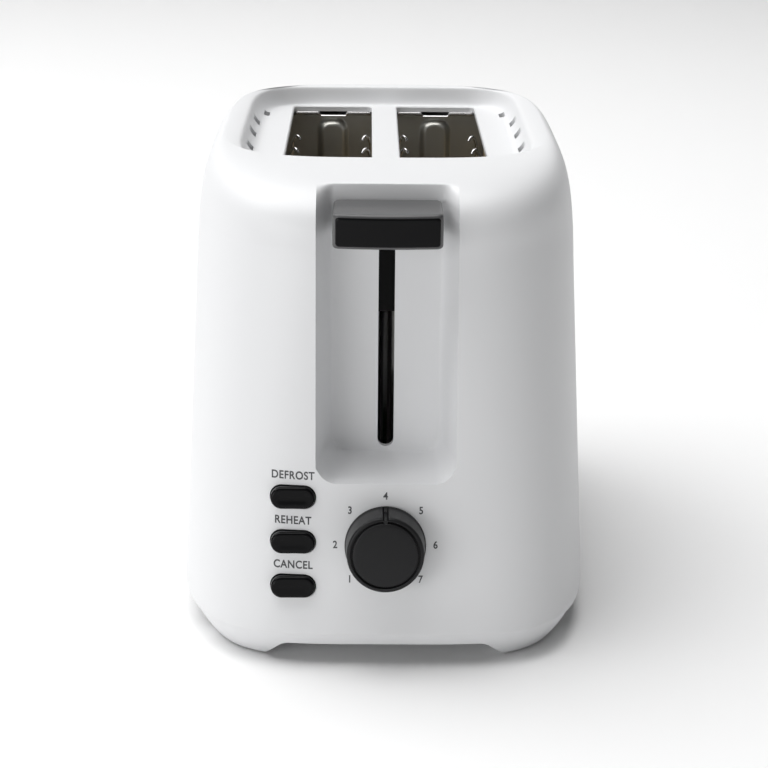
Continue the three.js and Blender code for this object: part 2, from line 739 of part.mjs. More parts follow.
function leverKnob() {
  const half = KNOB_WIDTH / 2;
  const bow = 1.6;
  const outline = new THREE.Shape();
  outline.moveTo(half, KNOB_REAR);
  outline.lineTo(-half, KNOB_REAR);
  outline.lineTo(-half, KNOB_FRONT + bow);
  outline.quadraticCurveTo(0, KNOB_FRONT - bow, half, KNOB_FRONT + bow);
  const geometry = new THREE.ExtrudeGeometry(outline, {
    depth: KNOB_HEIGHT,
    bevelEnabled: false,
    curveSegments: 10,
  });
  geometry.translate(0, 0, KNOB_BOTTOM);
  const socket = block(
    [-ARM_WIDTH / 2 - PIECE_GAP, KNOB_REAR - 14 - PIECE_GAP, ARM_BOTTOM - PIECE_GAP],
    [ARM_WIDTH / 2 + PIECE_GAP, KNOB_REAR + 1, ARM_TOP + PIECE_GAP],
  );
  return toSolid(geometry).subtract(socket);
}

class Helix extends THREE.Curve {
  constructor(radius, low, high, turns) {
    super();
    Object.assign(this, { radius, low, high, turns });
  }

  getPoint(share, target = new THREE.Vector3()) {
    const turn = 2 * Math.PI * this.turns * share;
    const z = this.low + (this.high - this.low) * share;
    return target.set(this.radius * Math.cos(turn), this.radius * Math.sin(turn), z);
  }
}

function liftSpring() {
  const low = ARMATURE_Z + 2 + SPRING_WIRE + PIECE_GAP;
  const high = LINER_TOP - 4 - SPRING_WIRE - PIECE_GAP;
  const section = new THREE.Shape();
  section.absarc(0, 0, SPRING_WIRE, 0, 2 * Math.PI, false);
  const geometry = new THREE.ExtrudeGeometry(section, {
    steps: SPRING_TURNS * 10,
    curveSegments: 3,
    bevelEnabled: false,
    extrudePath: new Helix(SPRING_RADIUS - SPRING_WIRE, low, high, SPRING_TURNS),
  });
  geometry.translate(SPRING_X, ROD_Y, 0);
  return toGeometry(toSolid(geometry));
}

function guideRod() {
  return post(ROD_RADIUS, CHASSIS_FOOT, LINER_TOP + 3, 0, ROD_Y);
}

// ---- Latch magnet and electronics -----------------------------------------------------------
const MAGNET_TOP = ARMATURE_Z - LEVER_TRAVEL - 0.7;
const MAGNET_Y = ROD_Y;

function magnetCore() {
  const y = [MAGNET_Y - 4, MAGNET_Y + 4];
  const left = MAGNET_X - MAGNET_HALF;
  const right = MAGNET_X + MAGNET_HALF;
  return join([
    block([left, y[0], CHASSIS_FOOT], [right, y[1], CHASSIS_FOOT + 4]),
    block([left, y[0], CHASSIS_FOOT], [left + 3, y[1], MAGNET_TOP]),
    block([right - 3, y[0], CHASSIS_FOOT], [right, y[1], MAGNET_TOP]),
    block([MAGNET_X - 1.8, y[0] + 1.5, CHASSIS_FOOT], [MAGNET_X + 1.8, y[1] - 1.5, MAGNET_TOP]),
  ]);
}

function magnetCoil() {
  const low = CHASSIS_FOOT + 4 + PIECE_GAP;
  const high = MAGNET_TOP - 2;
  const reach = MAGNET_HALF - 3 - PIECE_GAP;
  const outside = block([MAGNET_X - reach, MAGNET_Y - 5, low], [MAGNET_X + reach, MAGNET_Y + 5, high]);
  const hole = block(
    [MAGNET_X - 1.8 - PIECE_GAP, MAGNET_Y - 2.5 - PIECE_GAP, low - 1],
    [MAGNET_X + 1.8 + PIECE_GAP, MAGNET_Y + 2.5 + PIECE_GAP, high + 1],
  );
  return outside.subtract(hole);
}

function controlBoard() {
  const top = Math.min(CHANNEL_BOTTOM - SKIN - 3, BUTTON_LOW_Z + 2 * BUTTON_PITCH + 2) - DIAL_Z;
  return blockGeometry([BUTTON_X - 14, BOARD_DEPTH, BUTTON_LOW_Z - 8 - DIAL_Z], [20, BOARD_DEPTH + 1.6, top]);
}

function browningPot() {
  const half = POT_SIDE / 2;
  const front = FACE_INNER + PIECE_GAP;
  return blockGeometry([-half, front, -half], [half, front + POT_DEPTH, half]);
}

function terminalBlock() {
  const body = block([-50, ROD_Y - 8, CHASSIS_FOOT], [-34, ROD_Y + 6, CHASSIS_FOOT + 16]);
  const wells = [-46, -38].map((x) => post(2.4, CHASSIS_FOOT + 8, CHASSIS_FOOT + 20, x, ROD_Y - 1, 12));
  return body.subtract(join(wells));
}

// ---- Controls, in the frame of the leaning front face ---------------------------------------
const DIAL_FACE = -0.6;

// Turned about local Y: [radius, distance out of the face].
function turned(outline, sides) {
  const points = outline.map(([radius, out]) => new THREE.Vector2(radius, out));
  const geometry = new THREE.LatheGeometry(points, sides);
  geometry.rotateX(Math.PI);
  return toSolid(geometry);
}

function dialKnob() {
  const start = -DIAL_FACE;
  const end = start + DIAL_LENGTH;
  const body = turned([
    [0, start],
    [DIAL_RADIUS, start],
    [DIAL_RADIUS, start + DIAL_BASE - 0.6],
    [DIAL_RADIUS - 0.6, start + DIAL_BASE],
    [DIAL_CAP_RADIUS, start + DIAL_BASE],
    [DIAL_CAP_RADIUS - 0.3, end - 0.8],
    [DIAL_CAP_RADIUS - 1.1, end],
    [0, end],
  ], 40);
  const bore = rodAlongY(SHAFT_RADIUS + PIECE_GAP, DIAL_FACE - DIAL_LENGTH + 3.5, 1, 0, 0);
  const seat = rodAlongY(DIAL_INSERT_RADIUS + PIECE_GAP, -end - 1, -end + 1.2, 0, 0, 40);
  const notch = block([-0.8, -end - 1, DIAL_CAP_RADIUS - 2.2], [0.8, -start - DIAL_BASE + 0.8, DIAL_RADIUS + 1]);
  return body.subtract(join([bore, seat, notch]));
}

function dialInsert() {
  const end = -DIAL_FACE + DIAL_LENGTH;
  const low = end - 1.2 + PIECE_GAP;
  return turned([
    [0, low],
    [DIAL_INSERT_RADIUS, low],
    [DIAL_INSERT_RADIUS, end - 0.2],
    [DIAL_INSERT_RADIUS - 0.6, end + 0.4],
    [0, end + 0.6],
  ], 40);
}

function dialShaft() {
  const tip = DIAL_FACE - DIAL_LENGTH + 3.5 + PIECE_GAP;
  return rodAlongY(SHAFT_RADIUS, tip, FACE_INNER, 0, 0);
}

function switchFront(x, z) {
  return BOARD_DEPTH - (faceDepth(x, z) - faceDepth(0, z)) * Math.cos(LEAN) - PIECE_GAP - SWITCH_DEPTH;
}

function button(z) {
  const stemEnd = switchFront(BUTTON_X, z) - BUTTON_TRAVEL - PIECE_GAP;
  const cap = toSolid(stadium(BUTTON_WIDTH, BUTTON_HEIGHT, -BUTTON_PROUD, SKIN + 2));
  const flange = block(
    [-BUTTON_HEIGHT / 2, SKIN + 1.4, -BUTTON_HEIGHT / 2 - 1.5],
    [BUTTON_HEIGHT / 2, SKIN + 2.6, BUTTON_HEIGHT / 2 + 1.5],
  );
  const stem = rodAlongY(2, SKIN + 1, stemEnd, 0, 0, 16);
  return join([cap, flange, stem]);
}

function tactSwitch(z) {
  const half = SWITCH_SIDE / 2;
  const front = switchFront(BUTTON_X, z);
  return blockGeometry([-half, front, -half], [half, front + SWITCH_DEPTH, half]);
}

// ---- Cord gland -----------------------------------------------------------------------------
function cordGland() {
  const level = wallLevel(GLAND_Z, 0);
  const share = (GLAND_X / level.halfWidth) ** level.power;
  const middle = (level.front + level.rear) / 2;
  const wall = middle + ((level.rear - level.front) / 2) * (1 - share) ** (1 / level.power);
  const flangeFront = wall + 4.2;
  const outline = [
    [2.6, 10],
    [GLAND_RADIUS - 1.5, 10],
    [GLAND_RADIUS - 1.5, flangeFront - wall + 15],
    [GLAND_RADIUS, flangeFront - wall + 15],
    [GLAND_RADIUS - 0.8, flangeFront - wall + 17],
    [2.6, flangeFront - wall + 17],
    [2.6, 10],
  ];
  const points = outline.map(([radius, along]) => new THREE.Vector2(radius, along));
  const geometry = new THREE.LatheGeometry(points, 20);
  geometry.translate(GLAND_X, wall - 18, GLAND_Z);
  return toGeometry(toSolid(geometry));
}

// ---- Assembly -------------------------------------------------------------------------------
const toaster = new THREE.Group();

function place(name, shape, material, frame = new THREE.Matrix4()) {
  const geometry = shape.isBufferGeometry ? shape : toGeometry(shape);
  const mesh = new THREE.Mesh(geometry, material);
  mesh.name = name;
  frame.decompose(mesh.position, mesh.quaternion, mesh.scale);
  toaster.add(mesh);
}

function at(x, y, z) {
  return new THREE.Matrix4().makeTranslation(x, y, z);
}

place('outer_housing', outerHousing(), WHITE);
place('base_tray', baseTray(), WHITE);
for (const [sideX, sideY] of CORNERS) {
  const corner = `${sideY < 0 ? 'front' : 'rear'}_${sideX < 0 ? 'left' : 'right'}`;
  place(`foot_pad_${corner}`, footPad(), RUBBER, at(sideX * FOOT_X, sideY * FOOT_Y, 0));
  const neck = ARCH_HEIGHT - PIECE_GAP;
  place(`base_screw_${corner}`, baseScrew(), STEEL, at(sideX * SCREW_X, sideY * SCREW_Y, neck));
}
place('crumb_tray', crumbTray(), STEEL);
place('crumb_tray_handle', crumbTrayHandle(), WHITE);
place('front_plate', frontPlate(), STEEL);
place('rear_plate', rearPlate(), STEEL);
place('left_reflector', reflector(-1), STEEL);
place('right_reflector', reflector(1), STEEL);

const OUTER_HEATER = SLOT_OUTER + HEATER_OFFSET;
for (const [name, x] of [['left', -OUTER_HEATER], ['centre', 0], ['right', OUTER_HEATER]]) {
  place(`mica_card_${name}`, micaCard(x), MICA);
  place(`heater_ribbon_${name}`, heaterRibbon(x), NICHROME);
}
for (const [name, side] of [['left', -1], ['right', 1]]) {
  const reach = SLOT_WIDTH / 2 - GUARD_EDGE;
  place(`bread_guard_${name}_outer`, breadGuard(side * (SLOT_CENTRE + reach)), CHROME);
  place(`bread_guard_${name}_inner`, breadGuard(side * (SLOT_CENTRE - reach)), CHROME);
  place(`bread_lift_${name}`, breadLift(side), STEEL);
}
place('carriage_bracket', carriageBracket(), STEEL);
place('carriage_slider', carriageSlider(), BLACK);
place('armature_plate', armaturePlate(), STEEL);
place('lever_arm', leverArm(), BLACK);
place('lever_knob', leverKnob(), GLOSS_BLACK);
place('guide_rod', guideRod(), CHROME);
place('lift_spring', liftSpring(), STEEL);
place('magnet_core', magnetCore(), STEEL);
place('magnet_coil', magnetCoil(), COPPER);
place('terminal_block', terminalBlock(), BLACK);
place('control_board', controlBoard(), BOARD, faceFrame(0, DIAL_Z));
place('browning_pot', browningPot(), BLACK, faceFrame(0, DIAL_Z));
place('dial_shaft', dialShaft(), STEEL, faceFrame(0, DIAL_Z));
place('dial_knob', dialKnob(), BLACK, faceFrame(0, DIAL_Z));
place('dial_insert', dialInsert(), BLACK, faceFrame(0, DIAL_Z));
['cancel', 'reheat', 'defrost'].forEach((name, count) => {
  const z = BUTTON_LOW_Z + BUTTON_PITCH * count;
  place(`${name}_button`, button(z), GLOSS_BLACK, faceFrame(BUTTON_X, z));
  place(`${name}_switch`, tactSwitch(z), BLACK, faceFrame(BUTTON_X, z));
});
place('cord_gland', cordGland(), BLACK);

// The origin is at the bottom centre of the whole toaster's box.
const box = new THREE.Box3().setFromObject(toaster, true);
toaster.position.set(-(box.min.x + box.max.x) / 2, -(box.min.y + box.max.y) / 2, -box.min.z);
toaster.updateMatrixWorld(true);

export default toaster;
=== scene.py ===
"""A two-slice pop-up toaster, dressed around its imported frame.

Shapes are worked out in millimetres about the middle of the housing and placed in metres in the frame.
-Y is the lever end, +X is to the right of someone who faces it, and Z is up from the worktop.
"""
import logging
import math
from dataclasses import dataclass
from enum import Enum
from typing import Sequence

import bmesh
import bpy
import numpy as np
from mathutils import Euler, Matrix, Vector


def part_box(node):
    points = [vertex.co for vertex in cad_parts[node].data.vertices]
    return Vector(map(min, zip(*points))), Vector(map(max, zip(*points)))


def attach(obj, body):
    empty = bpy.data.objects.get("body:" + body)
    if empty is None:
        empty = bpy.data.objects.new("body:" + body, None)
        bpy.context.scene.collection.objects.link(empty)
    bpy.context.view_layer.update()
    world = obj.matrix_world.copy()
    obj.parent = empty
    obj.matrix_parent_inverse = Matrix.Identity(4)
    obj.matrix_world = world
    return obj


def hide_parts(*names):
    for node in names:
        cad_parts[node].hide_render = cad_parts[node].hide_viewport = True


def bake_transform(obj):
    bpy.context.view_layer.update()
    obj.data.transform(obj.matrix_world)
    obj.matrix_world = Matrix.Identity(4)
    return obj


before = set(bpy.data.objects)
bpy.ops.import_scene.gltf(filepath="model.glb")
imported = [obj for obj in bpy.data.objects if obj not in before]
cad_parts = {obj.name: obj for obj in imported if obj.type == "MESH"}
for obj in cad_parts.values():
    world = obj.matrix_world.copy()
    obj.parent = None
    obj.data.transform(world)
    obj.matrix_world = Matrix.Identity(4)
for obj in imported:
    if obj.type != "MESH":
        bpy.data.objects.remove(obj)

LOG = logging.getLogger("toaster")
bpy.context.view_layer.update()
MM = 0.001
SHELL_LOW, SHELL_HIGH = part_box("outer_housing")
MIDDLE_Y = (SHELL_LOW[1] + SHELL_HIGH[1]) / 2 / MM
TOP_Z = SHELL_HIGH[2] / MM
SEAM_Z = 13.0


class Slot(Enum):
    """Material slot names; no piece takes its finish from them."""

    SHELL = "white_shell"
    BLACK = "black_moulding"
    GLOSS = "gloss_black"
    STEEL = "steel"
    CHROME = "chrome_wire"


# ---- Shader maths ---------------------------------------------------------------------------
class Signal:
    """A number socket in a material, with the arithmetic that the finishes use."""

    def __init__(self, graph: "Graph", socket: bpy.types.NodeSocket) -> None:
        """Keeps the socket and the graph that it belongs to."""
        self.graph = graph
        self.socket = socket

    def _maths(self, operation: str, first: object, second: object) -> "Signal":
        """Adds one Math node for the operation on two values."""
        return self.graph.number("ShaderNodeMath", {"operation": operation}, {0: first, 1: second})

    def __add__(self, other: object) -> "Signal":
        """Sum."""
        return self._maths("ADD", self, other)

    __radd__ = __add__

    def __mul__(self, other: object) -> "Signal":
        """Product."""
        return self._maths("MULTIPLY", self, other)

    __rmul__ = __mul__

    def __sub__(self, other: object) -> "Signal":
        """Difference."""
        return self._maths("SUBTRACT", self, other)

    def __rsub__(self, other: object) -> "Signal":
        """A value less this signal."""
        return self._maths("SUBTRACT", other, self)

    def __pow__(self, other: object) -> "Signal":
        """Power."""
        return self._maths("POWER", self, other)


class Graph:
    """The node tree of one material, with one method that adds any node."""

    def __init__(self, name: str) -> None:
        """Starts an empty tree with an output and a shader.

        Args:
            name: the material's name.
        """
        self.material = bpy.data.materials.new(name)
        self.material.use_nodes = True
        self.tree = self.material.node_tree
        self.shader = self.tree.nodes["Principled BSDF"]
        coordinates = self.tree.nodes.new("ShaderNodeTexCoord")
        self.place = coordinates.outputs["Object"]

    def node(self, kind: str, settings: dict, inputs: dict) -> bpy.types.Node:
        """Adds a node.

        Args:
            kind: the node's type.
            settings: properties of the node; "stops" gives a ramp's (position, colour) pairs.
            inputs: socket name or index to a value, a socket or a Signal.

        Returns:
            The new node.
        """
        made = self.tree.nodes.new(kind)
        for key, value in settings.items():
            if key == "stops":
                self._fill_ramp(made.color_ramp, value)
            else:
                setattr(made, key, value)
        for key, value in inputs.items():
            self.feed(made.inputs[key], value)
        return made

    def _fill_ramp(self, ramp: bpy.types.ColorRamp, stops: Sequence) -> None:
        """Sets a ramp's stops from (position, colour) pairs."""
        while len(ramp.elements) < len(stops):
            ramp.elements.new(0.5)
        for element, (position, colour) in zip(ramp.elements, stops):
            element.position = position
            element.color = colour

    def feed(self, socket: bpy.types.NodeSocket, value: object) -> None:
        """Links or sets one input socket."""
        if isinstance(value, Signal):
            value = value.socket
        if isinstance(value, bpy.types.NodeSocket):
            self.tree.links.new(value, socket)
        else:
            socket.default_value = value

    def number(self, kind: str, settings: dict, inputs: dict, output: object = 0) -> Signal:
        """Adds a node and returns one of its outputs as a Signal."""
        return Signal(self, self.node(kind, settings, inputs).outputs[output])

    def noise(self, scale: float, detail: float = 2.0, stretch: Sequence[float] = (1, 1, 1)) -> Signal:
        """Noise on the piece's own place.

        Args:
            scale: features per metre.
            detail: octaves.
            stretch: scale of each axis, for a brushed or rolled direction.

        Returns:
            The noise, 0 to 1.
        """
        mapped = self.node("ShaderNodeMapping", {}, {"Vector": self.place, "Scale": stretch})
        inputs = {"Vector": mapped.outputs[0], "Scale": scale, "Detail": detail}
        return self.number("ShaderNodeTexNoise", {}, inputs)

    def tone(self, low: Sequence[float], high: Sequence[float], share: Signal) -> bpy.types.NodeSocket:
        """A colour between two, by a share.

        Returns:
            The colour socket.
        """
        mixed = self.node("ShaderNodeMix", {"data_type": "RGBA"}, {"Factor": share})
        colours = [socket for socket in mixed.inputs if socket.type == "RGBA"]
        colours[0].default_value = (*low, 1)
        colours[1].default_value = (*high, 1)
        return next(socket for socket in mixed.outputs if socket.type == "RGBA")

    def set(self, **values: object) -> None:
        """Sets shader inputs; a name's underscores stand for spaces."""
        for key, value in values.items():
            self.feed(self.shader.inputs[key.replace("_", " ")], value)

    def bump(self, height: Signal, distance: float, strength: float = 1.0) -> None:
        """Feeds a bump of a height, in metres, to the shader's normal."""
        inputs = {"Height": height, "Distance": distance, "Strength": strength}
        bumped = self.node("ShaderNodeBump", {}, inputs)
        self.feed(self.shader.inputs["Normal"], bumped.outputs["Normal"])


@dataclass(frozen=True)
class Moulding:
    """A moulded plastic: an even tone with a fine spark-eroded grain and faint drift in gloss."""

    name: str
    colour: tuple[float, float, float]
    drift: float
    roughness: float
    grain: float = 0.00001
    grain_scale: float = 2600.0
    specular: float = 0.5

    def make(self) -> bpy.types.Material:
        """Builds the material."""
        graph = Graph(self.name)
        cloud = graph.noise(14.0, 3.0)
        fine = graph.noise(self.grain_scale, 2.0)
        low = tuple(value * (1 - self.drift) for value in self.colour)
        graph.set(
            Base_Color=graph.tone(low, self.colour, cloud),
            Roughness=cloud * 0.06 + fine * 0.05 + (self.roughness - 0.055),
            Specular_IOR_Level=self.specular,
        )
        graph.bump(fine, self.grain)
        return graph.material


@dataclass(frozen=True)
class Sheet:
    """Rolled or drawn metal: fine streaks along one axis, smudges in gloss and a heat tint that follows
    the smudges.
    """

    name: str
    colour: tuple[float, float, float]
    tint: tuple[float, float, float]
    roughness: float
    stretch: tuple[float, float, float] = (30, 30, 1)
    streak: float = 0.000004

    def make(self) -> bpy.types.Material:
        """Builds the material."""
        graph = Graph(self.name)
        smudge = graph.noise(38.0, 4.0)
        streaks = graph.noise(90.0, 3.0, self.stretch)
        graph.set(
            Base_Color=graph.tone(self.colour, self.tint, smudge ** 2.0),
            Metallic=1.0,
            Roughness=smudge * 0.12 + streaks * 0.08 + (self.roughness - 0.1),
        )
        graph.bump(streaks, self.streak)
        return graph.material


@dataclass(frozen=True)
class Board:
    """Mica or circuit board: flakes or mottling with a little relief."""

    name: str
    colour: tuple[float, float, float]
    fleck: tuple[float, float, float]
    roughness: float
    scale: float = 400.0

    def make(self) -> bpy.types.Material:
        """Builds the material."""
        graph = Graph(self.name)
        flakes = graph.noise(self.scale, 5.0, (1, 1, 2))
        graph.set(
            Base_Color=graph.tone(self.colour, self.fleck, flakes),
            Roughness=flakes * 0.2 + (self.roughness - 0.1),
        )
        graph.bump(flakes, 0.00003)
        return graph.material


@dataclass(frozen=True)
class Finishes:
    """Every finish on the toaster, made once."""

    shell: bpy.types.Material
    satin_black: bpy.types.Material
    satin_grey: bpy.types.Material
    gloss_black: bpy.types.Material
    ink: bpy.types.Material
    liner: bpy.types.Material
    steel: bpy.types.Material
    wire: bpy.types.Material
    mica: bpy.types.Material
    ribbon: bpy.types.Material
    copper: bpy.types.Material
    board: bpy.types.Material
    rubber: bpy.types.Material

    @classmethod
    def make(cls) -> "Finishes":
        """Builds all the materials."""
        return cls(
            shell=Moulding("satin_white", (0.775, 0.78, 0.79), 0.015, 0.42).make(),
            satin_black=Moulding(
                "satin_black", (0.013, 0.013, 0.014), 0.2, 0.38, grain=0.00002, specular=0.22).make(),
            satin_grey=Moulding("satin_grey", (0.085, 0.085, 0.087), 0.15, 0.3, grain=0.00002).make(),
            gloss_black=Moulding(
                "polished_black", (0.004, 0.004, 0.0045), 0.1, 0.14, 0.0, 900.0, 0.12).make(),
            ink=Moulding("grey_ink", (0.07, 0.07, 0.075), 0.1, 0.5).make(),
            liner=Sheet("slot_liner", (0.56, 0.56, 0.53), (0.42, 0.4, 0.34), 0.42).make(),
            steel=Sheet("zinc_sheet", (0.56, 0.56, 0.55), (0.42, 0.4, 0.36), 0.34).make(),
            wire=Sheet("plated_wire", (0.72, 0.72, 0.73), (0.5, 0.48, 0.44), 0.22).make(),
            mica=Board("mica", (0.32, 0.24, 0.14), (0.5, 0.42, 0.28), 0.6).make(),
            ribbon=Sheet("heater_ribbon", (0.26, 0.22, 0.2), (0.34, 0.2, 0.12), 0.5).make(),
            copper=Sheet("copper_winding", (0.55, 0.24, 0.1), (0.4, 0.16, 0.07), 0.35, (1, 1, 40)).make(),
            board=Board("circuit_board", (0.02, 0.13, 0.05), (0.03, 0.18, 0.07), 0.4, 900.0).make(),
            rubber=Moulding("rubber", (0.03, 0.03, 0.03), 0.2, 0.8, 0.00004).make(),
        )


# ---- Meshes from grids ----------------------------------------------------------------------
def add_object(name: str, data: bpy.types.ID) -> bpy.types.Object:
    """Puts a new object for the data into the scene."""
    made = bpy.data.objects.new(name, data)
    bpy.context.scene.collection.objects.link(made)
    return made


def evaluated_mesh(made: bpy.types.Object) -> bpy.types.Mesh:
    """A new mesh of what an object looks like with its modifiers, or of its text."""
    bpy.context.view_layer.update()
    seen = made.evaluated_get(bpy.context.evaluated_depsgraph_get())
    return bpy.data.meshes.new_from_object(seen)


def apply_modifiers(made: bpy.types.Object) -> None:
    """Puts what the modifiers make into the mesh, and clears them."""
    result = evaluated_mesh(made)
    made.modifiers.clear()
    made.data = result


def skin(
    name: str,
    grid: np.ndarray,
    around: bool = True,
    closed: bool = False,
    caps: tuple[bool, bool] = (True, True),
) -> bpy.types.Object:
    """Makes a mesh from a grid of points in millimetres.

    The quad at row i, column j joins points (i, j), (i, j+1), (i+1, j+1), (i+1, j).

    Args:
        name: the object's name.
        grid: points, shaped (rows, columns, 3).
        around: whether the last column joins the first.
        closed: whether the last row joins the first.
        caps: whether the first and last rows are filled with a flat face.

    Returns:
        The object, at the origin, with its place in its mesh.
    """
    rows, columns = grid.shape[:2]
    points = grid.reshape(-1, 3).copy()
    points[:, 1] += MIDDLE_Y
    points *= MM
    row = np.arange(rows if closed else rows - 1)[:, None]
    column = np.arange(columns if around else columns - 1)[None, :]
    next_row = (row + 1) % rows
    next_column = (column + 1) % columns
    quads = np.stack([
        row * columns + column,
        row * columns + next_column,
        next_row * columns + next_column,
        next_row * columns + column,
    ], axis=-1).reshape(-1, 4)
    faces = quads.tolist()
    if not closed and caps[0]:
        faces.append(list(range(columns))[::-1])
    if not closed and caps[1]:
        faces.append(list(range((rows - 1) * columns, rows * columns)))
    mesh = bpy.data.meshes.new(name)
    mesh.from_pydata(points.tolist(), [], faces)
    mesh.validate()
    return add_object(name, mesh)


def tidy(made: bpy.types.Object, sharp_degrees: float = 32.0, merge: float = 1e-6) -> bpy.types.Object:
    """Merges doubles, points the faces outwards, and shades smooth with sharp edges above an angle."""
    work = bmesh.new()
    work.from_mesh(made.data)
    bmesh.ops.remove_doubles(work, verts=work.verts, dist=merge)
    bmesh.ops.dissolve_degenerate(work, dist=merge, edges=work.edges)
    bmesh.ops.recalc_face_normals(work, faces=work.faces)
    work.to_mesh(made.data)
    work.free()
    made.data.shade_smooth()
    made.data.set_sharp_from_angle(angle=math.radians(sharp_degrees))
    return made


def merged(name: str, pieces: Sequence[bpy.types.Object]) -> bpy.types.Object:
    """Joins several objects' meshes into the first and names it."""
    work = bmesh.new()
    for piece in pieces:
        work.from_mesh(piece.data)
    mesh = bpy.data.meshes.new(name)
    work.to_mesh(mesh)
    work.free()
    for piece in pieces:
        bpy.data.objects.remove(piece)
    return add_object(name, mesh)


def cut(made: bpy.types.Object, cutters: Sequence[bpy.types.Object]) -> None:
    """Takes closed cutters, which don't cross one another, out of a closed mesh."""
    tool = merged("cutters", [tidy(cutter, merge=1e-7) for cutter in cutters])
    modifier = made.modifiers.new("cut", "BOOLEAN")
    modifier.operation = "DIFFERENCE"
    modifier.solver = "EXACT"
    modifier.object = tool
    apply_modifiers(made)
    bpy.data.objects.remove(tool)


def finish_piece(
    made: bpy.types.Object,
    body: str,
    material: bpy.types.Material,
    replaced: Sequence[str] = (),
) -> bpy.types.Object:
    """Dresses a piece, hangs it on its body and hides the CAD nodes that it replaces.

    Args:
        made: the piece.
        body: the CAD body that it rides on.
        material: its finish.
        replaced: the CAD nodes that it replaces.

    Returns:
        The piece.
    """
    made.data.materials.clear()
    made.data.materials.append(material)
    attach(made, body)
    if replaced:
        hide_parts(*replaced)
    LOG.info("%s: %d faces on %s", made.name, len(made.data.polygons), body)
    return made


def smooth_step(share: np.ndarray) -> np.ndarray:
    """The S-curve 3s^2 - 2s^3 of a share, held at 0 and 1 outside."""
    held = np.clip(share, 0, 1)
    return held * held * (3 - 2 * held)


def soft_max(first: np.ndarray, second: np.ndarray, width: float) -> np.ndarray:
    """The larger of two arrays, with a rounded change-over: (a + b + sqrt((a - b)^2 + w^2)) / 2."""
    return (first + second + np.sqrt((first - second) ** 2 + width ** 2)) / 2


def round_rect(half_x: float, half_y: float, radius: float, per_corner: int = 8) -> np.ndarray:
    """An anticlockwise rectangle with quarter-circle corners, shaped (points, 2)."""
    quarter = np.linspace(0, np.pi / 2, per_corner)
    turn = (np.arange(4)[:, None] * np.pi / 2 + quarter[None, :]).ravel()
    side_x = np.repeat([1, -1, -1, 1], per_corner)
    side_y = np.repeat([1, 1, -1, -1], per_corner)
    x = side_x * (half_x - radius) + radius * np.cos(turn)
    y = side_y * (half_y - radius) + radius * np.sin(turn)
    return np.stack([x, y], axis=-1)


def stacked(outlines: Sequence[np.ndarray], heights: Sequence[float]) -> np.ndarray:
    """Outlines in X and Y, one at each height, as a grid of points."""
    return np.stack([
        np.column_stack([line, np.full(len(line), height)])
        for line, height in zip(outlines, heights)
    ])


def upright(line: np.ndarray, y: float, z: float = 0.0) -> np.ndarray:
    """An outline of X and Z, stood up at a depth and raised."""
    return np.column_stack([line[:, 0], np.full(len(line), y), line[:, 1] + z])


def turned(profile: Sequence[tuple[float, float]], sides: int) -> np.ndarray:
    """A profile of (radius, height) turned about Z, as a grid of points."""
    turn = np.linspace(0, 2 * np.pi, sides, endpoint=False)
    radius, height = np.array(profile, float).T
    return np.stack([
        radius[:, None] * np.cos(turn),
        radius[:, None] * np.sin(turn),
        np.repeat(height[:, None], sides, axis=1),
    ], axis=-1)


def tube(route: np.ndarray, radius: float, sides: int = 12, closed: bool = False) -> np.ndarray:
    """A round section carried along a route.

    At each point the section stands square to the tangent, on two axes made by crossing the tangent
    with a steady side direction.

    Args:
        route: points, shaped (steps, 3).
        radius: of the section.
        sides: points round the section.
        closed: whether the route is a ring.

    Returns:
        A grid of points, shaped (steps, sides, 3).
    """
    if closed:
        tangent = np.roll(route, -1, axis=0) - np.roll(route, 1, axis=0)
    else:
        tangent = np.gradient(route, axis=0)
    tangent /= np.linalg.norm(tangent, axis=1, keepdims=True)
    steady = np.array([0.31, 0.17, 0.93]) if np.ptp(route[:, 0]) > 0.5 else np.array([1.0, 0.0, 0.0])
    first = np.cross(tangent, steady)
    first /= np.linalg.norm(first, axis=1, keepdims=True)
    second = np.cross(tangent, first)
    turn = np.linspace(0, 2 * np.pi, sides, endpoint=False)
    offset = np.cos(turn)[None, :, None] * first[:, None] + np.sin(turn)[None, :, None] * second[:, None]
    return route[:, None] + radius * offset


def rounded_path(corners: Sequence[Sequence[float]], radius: float, steps: int = 7) -> np.ndarray:
    """A route through corners, each cut back and bridged by a quadratic curve.

    Args:
        corners: the points that the route turns at, first and last included.
        radius: how far before and after a corner the curve starts.
        steps: points along each curve.

    Returns:
        Points, shaped (n, 3).
    """
    stops = np.array(corners, float)
    share = np.linspace(0, 1, steps)[:, None]
    route = [stops[:1]]
    for before, corner, after in zip(stops, stops[1:], stops[2:]):
        start = corner + (before - corner) * radius / np.linalg.norm(before - corner)
        end = corner + (after - corner) * radius / np.linalg.norm(after - corner)
        route.append((1 - share) ** 2 * start + 2 * share * (1 - share) * corner + share ** 2 * end)
    route.append(stops[-1:])
    return np.concatenate(route)


